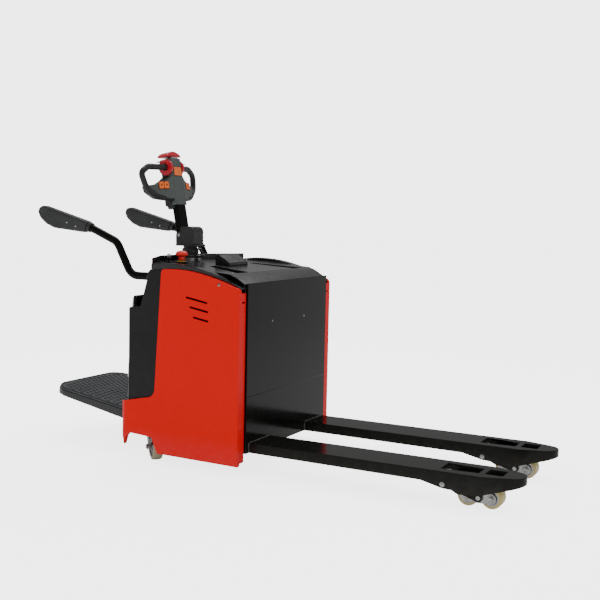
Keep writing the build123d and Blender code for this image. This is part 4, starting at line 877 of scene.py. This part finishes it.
@dataclass
class Steering:
    """The steering column, its hub cover and conduit, and the drive unit below."""

    x: float = -0.530
    disc_z: float = 0.889
    wheel_z: float = 0.115
    wheel_radius: float = 0.115
    wheel_half: float = 0.035
    conduit: tuple[Point, ...] = ((-0.462, 0.0, 0.889), (-0.462, 0.0, 0.898), (-0.470, 0.0, 0.910),
                                  (-0.480, 0.0, 0.920), (-0.481, 0.0, 0.926), (-0.481, 0.0, 0.932))

    def build(self) -> None:
        """Make and dress the column and the drive."""
        wear(Bench.eased("steering_column", 0.001, 2), HEAD_BLACK, "steering", "steering_column")
        wear(Bench.eased("hub_cover", 0.0012, 3), HEAD_BLACK, "steering", "hub_cover")
        dress(STEEL, "tiller_pin")
        plate = Bench.turned(
            "column_disc", mm((32.5, 0.1), (32.5, 1.8), (47, 1.8), (48.5, 0.8), (48.5, 0.1), (32.5, 0.1)),
            (0, 0, 1), (self.x, 0, self.disc_z), 64)
        wear(plate, STEEL, "steering")
        self.cable_sleeve()
        moves = []
        for index in range(6):
            turn = math.tau * (index + 0.5) / 6
            out = Vector((math.cos(turn), math.sin(turn), 0))
            moves.append(Bench.stand(out, Vector((self.x, 0, 0.907)) + out * 0.0375))
        wear(Bench.spread("collar_screws", Bench.socket_screw(0.0040), moves), ZINC, "steering")
        self.drive_wheel()

    def cable_sleeve(self) -> None:
        """Make the ribbed sleeve beside the column, with its two bright clips."""
        core = Bench.hose("sleeve_core", self.conduit, 0.0062)
        rings = [core]
        for index in range(9):
            share = (index + 0.5) / 9 * (len(self.conduit) - 1)
            step = min(int(share), len(self.conduit) - 2)
            start, end = Vector(self.conduit[step]), Vector(self.conduit[step + 1])
            place = start.lerp(end, share - step)
            rings.append(
                Bench.turned("ring", mm((5, -1.2), (7, -1), (7.4, 0), (7, 1), (5, 1.2)), end - start, place,
                20))
        wear(Bench.join("sleeve", rings), SLEEVE, "steering", "tiller_conduit")
        clips = []
        for low, high in (
                ((-0.462, 0.0, 0.893), (-0.463, 0.0, 0.900)), ((-0.480, 0.0, 0.921), (-0.481, 0.0, 0.927))):
            axis = Vector(high) - Vector(low)
            clips.append(
                Bench.turned("clip", mm((6.6, -2.2), (8.4, -2.2), (8.8, 0), (8.4, 2.2), (6.6, 2.2),
                (6.6, -2.2)), axis, low, 28))
        wear(Bench.join("sleeve_clips", clips), ZINC, "steering")

    def drive_wheel(self) -> None:
        """Make the drive tyre with its grooves, and the bolted hub."""
        r, h = self.wheel_radius, self.wheel_half
        profile = [(r - 0.030, -h + 0.001), (r - 0.012, -h), (r - 0.004, -h + 0.002), (r, -h + 0.008)]
        for groove in (-0.012, 0.0, 0.012):
            profile += [(r, groove - 0.0022), (r - 0.004, groove - 0.0012), (r - 0.004, groove + 0.0012),
                        (r, groove + 0.0022)]
        profile += [(r, h - 0.008), (r - 0.004, h - 0.002), (r - 0.012, h), (r - 0.030, h - 0.001),
                    (r - 0.030, -h + 0.001)]
        tyre = Bench.turned("drive_tyre", profile, (0, 1, 0), (self.x, 0, self.wheel_z), 72)
        wear(tyre, TYRE_DRIVE, "drive_wheel", "drive_wheel")
        hub = Bench.turned("drive_hub", both_faces([
            (0.0155, -h + 0.004), (0.030, -h + 0.004), (0.034, -h + 0.010), (0.074, -h + 0.012),
            (0.078, -h + 0.002), (r - 0.030, -h + 0.001)]), (0, 1, 0), (self.x, 0, self.wheel_z), 60)
        wear(hub, ALLOY, "drive_wheel")
        moves = []
        for index in range(6):
            turn = math.tau * index / 6
            place = (self.x + 0.055 * math.cos(turn), -h + 0.0115, self.wheel_z + 0.055 * math.sin(turn))
            moves.append(Bench.stand((0, -1, 0), place, 12.0 * index))
        wear(Bench.spread("drive_hub_bolts", Bench.hex_bolt(0.0078, 0.005), moves), ZINC, "drive_wheel")


@dataclass
class Tiller:
    """The tiller: arm, head, loop handles and all the controls on it."""

    pivot: Point = (-0.570, 0.0, 0.982)
    lean: float = 11.0
    throttle_s: float = 0.318
    throttle_n: float = -0.010
    wing_slope: float = 17.6
    button_s: float = 0.232
    button_pitch: float = 0.029
    plate_s: float = 0.296
    plate_n: float = 0.0202
    loop_back: float = 11.0
    loop_bend: float = 0.080
    disc_y: float = 0.046
    disc_radius: float = 0.0366
    loop: tuple[tuple[float, float], ...] = ((0.027, 0.318), (0.072, 0.318), (0.160, 0.321), (0.208, 0.294),
                                             (0.190, 0.222), (0.132, 0.180), (0.041, 0.172))

    def at(self, y: float, s: float, n: float) -> Vector:
        """The place y to the left, s up the arm and n forward of it, all in metres."""
        turn = math.radians(self.lean)
        front = Vector((math.cos(turn), 0, math.sin(turn)))
        up = Vector((-math.sin(turn), 0, math.cos(turn)))
        return Vector(self.pivot) + front * n + up * s + Vector((0, y, 0))

    def front(self) -> Vector:
        """The direction that the head faces."""
        return self.at(0, 0, 1) - Vector(self.pivot)

    def frame_at(self, y: float, s: float, n: float) -> Matrix:
        """A place on the tiller as a move: X to the left, Y up the arm, Z forward."""
        forward = self.front()
        upward = self.at(0, 1, 0) - Vector(self.pivot)
        turned = Matrix((Vector((0, 1, 0)), upward, forward)).transposed().to_4x4()
        return Matrix.Translation(self.at(y, s, n)) @ turned

    def build(self) -> None:
        """Make and dress the whole tiller."""
        wear(Bench.eased("tiller_arm", 0.0022, 3), GLOSS_BLACK, "tiller", "tiller_arm")
        wear(Bench.eased("head_cover", 0.0030, 4), HEAD_GREY, "tiller", "head_cover")
        wear(Bench.eased("head_base", 0.0022, 3), HEAD_BLACK, "tiller", "head_base")
        wear(Bench.eased("throttle", 0.0014, 3), CRIMSON, "throttle", "throttle")
        wear(Bench.eased("belly_button", 0.0050, 4), CRIMSON, "belly_button", "belly_button")
        self.maker_plate()
        self.push_buttons()
        self.grips()
        self.throttle_ridges()

    def maker_plate(self) -> None:
        """Set the blank orange plate in its bezel on the spine."""
        here = self.frame_at(0, self.plate_s, self.plate_n)
        bezel = Bench.block("plate_bezel", (0.066, 0.046, 0.0026), (0, 0, 0), 0.0012, here)
        wear(bezel, HEAD_BLACK, "tiller")
        plate = Bench.block("orange_plate", (0.059, 0.039, 0.0032), (0, 0, 0.0008), 0.0014, here)
        wear(plate, ORANGE, "tiller")
        rib = [Bench.block("rib", (0.048, 0.0016, 0.0010), (0, step * 0.0065, 0.0026), 0.0004, here)
               for step in (-1.5, -0.5, 0.5, 1.5)]
        wear(Bench.join("orange_plate_ribs", rib), ORANGE, "tiller")

    def button_frame(self, side: int, index: int) -> Matrix:
        """Where a push button's face lies: X outwards along the wing, Y up the arm, Z off the wing."""
        slope = math.radians(self.wing_slope)
        forward = self.front()
        out = Vector((0, side * math.cos(slope), 0)) - forward * math.sin(slope)
        upward = self.at(0, 1, 0) - Vector(self.pivot)
        normal = Vector((0, side * math.sin(slope), 0)) + forward * math.cos(slope)
        start = self.at(side * 0.040, self.button_s, 0.017) + out * (0.044 + self.button_pitch * index)
        across = upward.cross(normal)
        return Matrix.Translation(start) @ Matrix((across, upward, normal)).transposed().to_4x4()

    def push_buttons(self) -> None:
        """Make the four rocker-faced push buttons with their arrows, and the dark frames round them."""
        for side, word in SIDES:
            frames = []
            for index, place in ((0, "inner"), (1, "outer")):
                here = self.button_frame(side, index)
                body = f"button_{word}_{place}"
                wear(Bench.eased(body, 0.0010, 3), ORANGE, body, body)
                arrow = Bench.begin("cylinder", vertices=3, radius=0.0062, depth=0.0009,
                                    rotation=(0, 0, math.pi * index))
                bpy.ops.object.transform_apply()
                Bench.apply(arrow, "BEVEL", width=0.0003, segments=2, limit_method="ANGLE")
                arrow.matrix_world = here @ Matrix.Translation((0, 0.001, 0.0042))
                wear(Bench.settle(arrow, f"arrow_{word}_{place}"), HEAD_BLACK, body)
                for x, y, wide, tall in ((0, 0.0178, 0.0300, 0.0016), (0, -0.0178, 0.0300, 0.0016),
                                         (0.0142, 0, 0.0016, 0.0370), (-0.0142, 0, 0.0016, 0.0370)):
                    frames.append(Bench.block("edge", (wide, tall, 0.0016), (x, y, 0.0004), 0.0004, here))
            wear(Bench.join(f"button_frame_{word}", frames), HEAD_BLACK, "tiller")

    def grips(self) -> None:
        """Make the loop handles with moulded end rings."""
        wear(Bench.eased("handles", 0.0006, 1, 60), GRIP, "tiller", "handles")
        rings = []
        slope = math.tan(math.radians(self.loop_back))
        for side, word in SIDES:
            for y in (0.0560, 0.0600, 0.1400):
                back = self.throttle_n - slope * max(y - self.loop[1][0], 0)
                tilt = Vector((0, side, 0)) - self.front() * (slope if y > self.loop_bend else 0)
                rings.append(
                    Bench.turned("grip_ring", mm((13.5, -1.2), (14.7, -1), (15.1, 0), (14.7, 1),
                    (13.5, 1.2)), tilt, self.at(side * y,
                    self.throttle_s + (0.0023 if y > self.loop_bend else 0), back), 36))
        wear(Bench.join("grip_rings", rings), GRIP, "tiller")

    def throttle_ridges(self) -> None:
        """Ridge the rims of the throttle's two discs."""
        bars = []
        for side, word in SIDES:
            for index in range(20):
                turn = math.tau * index / 20
                spot = self.at(side * self.disc_y, self.throttle_s + self.disc_radius * math.cos(turn),
                               self.throttle_n + self.disc_radius * math.sin(turn))
                out = (spot - self.at(side * self.disc_y, self.throttle_s, self.throttle_n)).normalized()
                bars.append(Bench.block("ridge", (0.0016, 0.0100, 0.0022), (0, 0, 0), 0.0005,
                                        Bench.stand(out, spot)))
        wear(Bench.join("throttle_ridges", bars), CRIMSON, "throttle")


@dataclass
class SideArms:
    """The two side arms: bent tubes with padded rests."""

    y: float = 0.325
    rivets: tuple[tuple[float, float], ...] = ((-0.971, 1.031), (-0.920, 1.015))
    axis_z: float = 0.806
    root_x: float = -0.516

    def build(self) -> None:
        """Make and dress both arms."""
        for side, word in SIDES:
            dress(GLOSS_BLACK, f"arm_tube_{word}")
            self.pad(side, word)
            self.fixings(side, word)

    def pad(self, side: int, word: str) -> None:
        """Swell the arm's plain pad into a crowned, soft-skinned rest."""
        made = Bench.eased(f"arm_pad_{word}", 0.006, 3)
        Bench.apply(made, "REMESH", mode="VOXEL", voxel_size=0.0035)
        Bench.apply(made, "SMOOTH", factor=0.6, iterations=14)
        Bench.apply(made, "SUBSURF", levels=1, render_levels=1)
        piece = Bench.settle(made, f"pad_{word}", 60)
        wear(piece, PAD, f"side_arm_{word}", f"arm_pad_{word}")
        cuff = Bench.turned(
            f"pad_cuff_{word}", mm((17.8, -8), (21.2, -8), (22.6, -4), (22.6, 6), (21.2, 10), (17.8, 10),
            (17.8, -8)), (0.928, 0, -0.374), (-0.8535, side * self.y, 1.0120), 40)
        wear(cuff, GRIP, f"side_arm_{word}")

    def fixings(self, side: int, word: str) -> None:
        """Rivet the pad through both faces, and ring the tube where it leaves the body."""
        rivet = Bench.turned("rivet", mm((0, 2.6), (2.4, 2.2), (4.4, 1), (5, 0), (5, -2), (0, -2)), steps=24)
        moves = [Bench.stand((0, face, 0), (x, side * self.y + face * 0.0225, z))
                 for x, z in self.rivets for face in (-1, 1)]
        wear(Bench.spread(f"pad_rivets_{word}", rivet, moves), ZINC, f"side_arm_{word}")
        ring = Bench.turned(
            f"arm_ring_{word}", mm((17.8, 0), (26.2, 0), (26.2, 4), (24, 7), (19, 9), (17.8, 9), (17.8, 0)),
            (-1, 0, 0), (self.root_x, side * self.y, self.axis_z), 44)
        wear(ring, GRIP, "chassis")


@dataclass
class Platform:
    """The operator's fold-up platform with its studded mat."""

    hinge: Point = (-0.684, 0.0, 0.158)
    tilt: float = 8.8
    tread: float = 0.024
    start: float = 0.018
    length: float = 0.470
    half: float = 0.250
    pitch: float = 0.0265
    rows: int = 16
    columns: int = 8
    first_row: float = 0.040
    row_bow: float = 0.026
    stud_margin: float = 0.026
    corner: float = 0.090
    corner_reach: float = 0.066
    pin_end: float = 0.2325

    def on_tread(self, out: float, y: float, lift: float = 0.0) -> Matrix:
        """A move onto the tread: X outwards, Y to the right of it, Z off the tread."""
        turn = math.radians(self.tilt)
        away = Vector((-math.cos(turn), 0, math.sin(turn)))
        up = Vector((math.sin(turn), 0, math.cos(turn)))
        place = Vector(self.hinge) + away * out + up * (self.tread + lift) + Vector((0, y, 0))
        return Matrix.Translation(place) @ Matrix((away, up.cross(away), up)).transposed().to_4x4()

    def build(self) -> None:
        """Make and dress the platform."""
        wear(Bench.eased("platform_deck", 0.0018, 3), CHASSIS, "platform", "platform_deck")
        wear(Bench.eased("platform_mat", 0.0030, 4), MAT, "platform", "platform_mat")
        self.studs()
        self.rim()
        self.hinge_ends()

    def studs(self) -> None:
        """Lay rows of ringed studs across the mat, each row bowed towards the free edge."""
        stud = Bench.turned(
            "stud", mm((0, 0.4), (3.6, 0.4), (4.6, 2.2), (6.6, 2.6), (8.6, 1.8), (9.4, -0.4)), steps=14,
            angle=50)
        moves = []
        for row in range(self.rows):
            bow = self.first_row + row * self.pitch
            for column in range(-self.columns, self.columns + 1):
                y = (column + 0.5 * (row % 2)) * self.pitch * 1.03
                out = bow + self.row_bow * (1 - (y / self.half) ** 2)
                beside, beyond = abs(y) - self.half, out - self.length
                past = math.hypot(max(0.0, beside + self.corner), max(0.0, beyond + self.corner))
                if max(beside, beyond) > -self.stud_margin or past > self.corner_reach:
                    continue
                moves.append(self.on_tread(out, y))
        wear(Bench.spread("mat_studs", stud, moves), STUD, "platform")

    def rim(self) -> None:
        """Run a raised rubber rim round the mat's free edges."""
        inset = 0.008
        reach, half, corner = self.length - inset, self.half - inset, 0.082
        line = [(self.start + 0.01, -half)]
        for index in range(9):
            turn = math.radians(90 * index / 8)
            line.append((reach - corner + corner * math.sin(turn), -half + corner - corner * math.cos(turn)))
        for index in range(9):
            turn = math.radians(90 * index / 8)
            line.append((reach - corner + corner * math.cos(turn), half - corner + corner * math.sin(turn)))
        line.append((self.start + 0.01, half))
        points = [self.on_tread(out, y, 0.0004) @ Vector((0, 0, 0)) for out, y in line]
        wear(Bench.hose("mat_rim", points, 0.0042), STUD, "platform")

    def hinge_ends(self) -> None:
        """Cap the ends of the hinge pin."""
        cap = Bench.turned("cap", mm((0, 5), (6, 4.6), (9.8, 3), (10.8, 0), (0, 0)), steps=30)
        moves = [
            Bench.stand((0, side, 0), (self.hinge[0], side * self.pin_end,
            self.hinge[2])) for side, word in SIDES]
        wear(Bench.spread("hinge_caps", cap, moves), ZINC, "chassis")


@dataclass
class Casters:
    """The two stabiliser casters below the body."""

    x: float = -0.503
    y: float = 0.312
    trail: float = 0.036
    radius: float = 0.060
    half: float = 0.022
    turn: float = -41.0
    nut_out: float = 0.0360

    def build(self) -> None:
        """Make and dress both casters."""
        for side, word in SIDES:
            heading = math.radians(self.turn * (1 if side < 0 else -1))
            axle = Vector((math.sin(heading), -math.cos(heading), 0))
            centre = Vector(
                (self.x + self.trail * math.cos(heading), side * self.y + self.trail * math.sin(heading),
                self.radius))
            wear(
                Bench.eased(f"caster_fork_{word}", 0.0012, 2), ZINC, f"caster_fork_{word}",
                f"caster_fork_{word}")
            self.wheel(word, axle, centre)
            moves = [Bench.stand(axle * face, centre + axle * face * self.nut_out, 9) for face in (-1, 1)]
            wear(Bench.spread(f"caster_nuts_{word}", Bench.hex_bolt(0.0105, 0.006), moves), ZINC,
                 f"caster_fork_{word}")

    def wheel(self, word: str, axle: Vector, centre: Vector) -> None:
        """Make a caster's crowned tyre and its webbed hub."""
        r, h = self.radius, self.half
        tyre = Bench.turned(f"caster_tyre_{word}", both_faces([
            (r - 0.016, -h + 0.001), (r - 0.008, -h), (r - 0.003, -h + 0.002), (r - 0.0006, -h + 0.008),
            (r, 0.0)]), axle, centre, 60)
        wear(tyre, TYRE_CASTER, f"caster_wheel_{word}", f"caster_wheel_{word}")
        hub = Bench.turned(f"caster_hub_{word}", both_faces([
            (0.0072, -h + 0.001), (0.015, -h + 0.001), (0.017, -h + 0.005), (0.040, -h + 0.006),
            (0.042, -h + 0.002), (r - 0.016, -h + 0.001)]), axle, centre, 48)
        wear(hub, ALLOY, f"caster_wheel_{word}")


@dataclass
class Power:
    """What the body holds: the battery with its caps."""

    cap_rows: int = 4
    cap_columns: int = 6
    row_pitch: float = 0.066
    column_pitch: float = 0.1
    cap_sunk: float = 0.010

    def build(self) -> None:
        """Make and dress the battery."""
        wear(Bench.eased("battery", 0.003, 2), BATTERY, "chassis", "battery")
        low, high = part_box("battery")
        cap = Bench.turned("cap", mm((0, 4), (6, 3.6), (6.8, 2), (12, 1.8), (13.6, 0), (0, 0)), steps=28)
        moves = []
        for row in range(self.cap_rows):
            for column in range(self.cap_columns):
                place = ((low.x + high.x) / 2 + self.row_pitch * (row - (self.cap_rows - 1) / 2),
                         self.column_pitch * (column - (self.cap_columns - 1) / 2), high.z - self.cap_sunk)
                moves.append(Matrix.Translation(place))
        wear(Bench.spread("battery_caps", cap, moves), YELLOW, "chassis")


@dataclass
class Studio:
    """The floor, the soft lights and the camera."""

    eye: Point = (2.056, -3.866, 1.105)
    azimuth: float = 27.42
    elevation: float = 5.13
    roll: float = 1.22
    lens: float = 59.55
    room: float = 1.0
    backdrop: float = 4.2
    floor_glow: float = 3.2
    reflected: float = 0.30
    lamps: tuple[tuple[str, Point, float, float], ...] = (
        ("near_side", (0.4, -4.6, 2.2), 3.4, 24.0), ("overhead", (-0.9, 1.6, 3.6), 2.6, 60.0))

    def build(self) -> None:
        """Set up the studio."""
        self.floor()
        self.lights()
        self.camera()

    def floor(self) -> None:
        """Lay a wide pale floor."""
        floor = Bench.begin("plane", size=80.0, location=(0, 0, -0.0005))
        floor.name = "floor"
        made = bpy.data.materials.new("pale_floor")
        made.use_nodes = True
        shader = made.node_tree.nodes["Principled BSDF"]
        shader.inputs["Base Color"].default_value = (0.95, 0.95, 0.95, 1.0)
        shader.inputs["Emission Color"].default_value = (1.0, 1.0, 1.0, 1.0)
        shader.inputs["Roughness"].default_value = 0.9
        shader.inputs["Specular IOR Level"].default_value = 0.1
        self.by_ray(made.node_tree, shader.inputs["Emission Strength"], self.floor_glow, 0.07, 0.0)
        floor.data.materials.append(made)
        world = bpy.data.worlds.new("studio")
        world.use_nodes = True
        back = world.node_tree.nodes["Background"]
        back.inputs["Color"].default_value = (1.0, 1.0, 1.0, 1.0)
        self.by_ray(world.node_tree, back.inputs["Strength"], self.backdrop, self.room, self.reflected)
        bpy.context.scene.world = world

    @staticmethod
    def by_ray(tree: bpy.types.NodeTree, socket: bpy.types.NodeSocket, seen: float, lit: float,
               mirrored: float) -> None:
        """Give a strength one value for the camera, one for soft light and one for reflections.

        Args:
            tree: The node tree that holds the socket.
            socket: The strength to set.
            seen: Its value for camera rays.
            lit: Its value for all other rays.
            mirrored: Its value for glossy rays.
        """
        ray = tree.nodes.new("ShaderNodeLightPath")
        glow = tree.nodes.new("ShaderNodeMapRange")
        glow.inputs["To Min"].default_value = lit
        glow.inputs["To Max"].default_value = mirrored
        show = tree.nodes.new("ShaderNodeMapRange")
        show.inputs["To Max"].default_value = seen
        tree.links.new(ray.outputs["Is Glossy Ray"], glow.inputs["Value"])
        tree.links.new(ray.outputs["Is Camera Ray"], show.inputs["Value"])
        tree.links.new(glow.outputs["Result"], show.inputs["To Min"])
        tree.links.new(show.outputs["Result"], socket)

    def lights(self) -> None:
        """Hang the large soft lamps. Only the one overhead is seen in glossy surfaces."""
        for name, place, size, power in self.lamps:
            lamp = bpy.data.lights.new(name, "AREA")
            lamp.size = size
            lamp.energy = power
            holder = bpy.data.objects.new(name, lamp)
            holder.location = place
            holder.rotation_euler = (
                Vector((-0.1, 0, 0.5)) - Vector(place)).to_track_quat("-Z", "Y").to_euler()
            holder.visible_glossy = name == "overhead"
            bpy.context.scene.collection.objects.link(holder)

    def camera(self) -> None:
        """Stand the camera at its fitted place."""
        az, el, roll = (math.radians(value) for value in (self.azimuth, self.elevation, self.roll))
        ahead = Vector((-math.sin(az) * math.cos(el), math.cos(az) * math.cos(el), -math.sin(el)))
        right = ahead.cross(Vector((0, 0, 1))).normalized()
        up = right.cross(ahead)
        across = right * math.cos(roll) + up * math.sin(roll)
        upright = up * math.cos(roll) - right * math.sin(roll)
        lens = bpy.data.cameras.new("camera")
        lens.lens = self.lens
        lens.sensor_width = 36.0
        holder = bpy.data.objects.new("camera", lens)
        turned = Matrix((across, upright, -ahead)).transposed().to_4x4()
        holder.matrix_world = Matrix.Translation(Vector(self.eye)) @ turned
        bpy.context.scene.collection.objects.link(holder)
        bpy.context.scene.camera = holder


def main() -> None:
    """Build the studio and every sub-assembly, in order."""
    logging.basicConfig(level=logging.INFO, format="%(message)s")
    for part in (
            Studio(), ForkPair(), Backrest(), Body(), Deck(), Steering(), Tiller(), SideArms(), Platform(),
            Casters(), Power()):
        part.build()


if __name__ == "__main__":
    main()
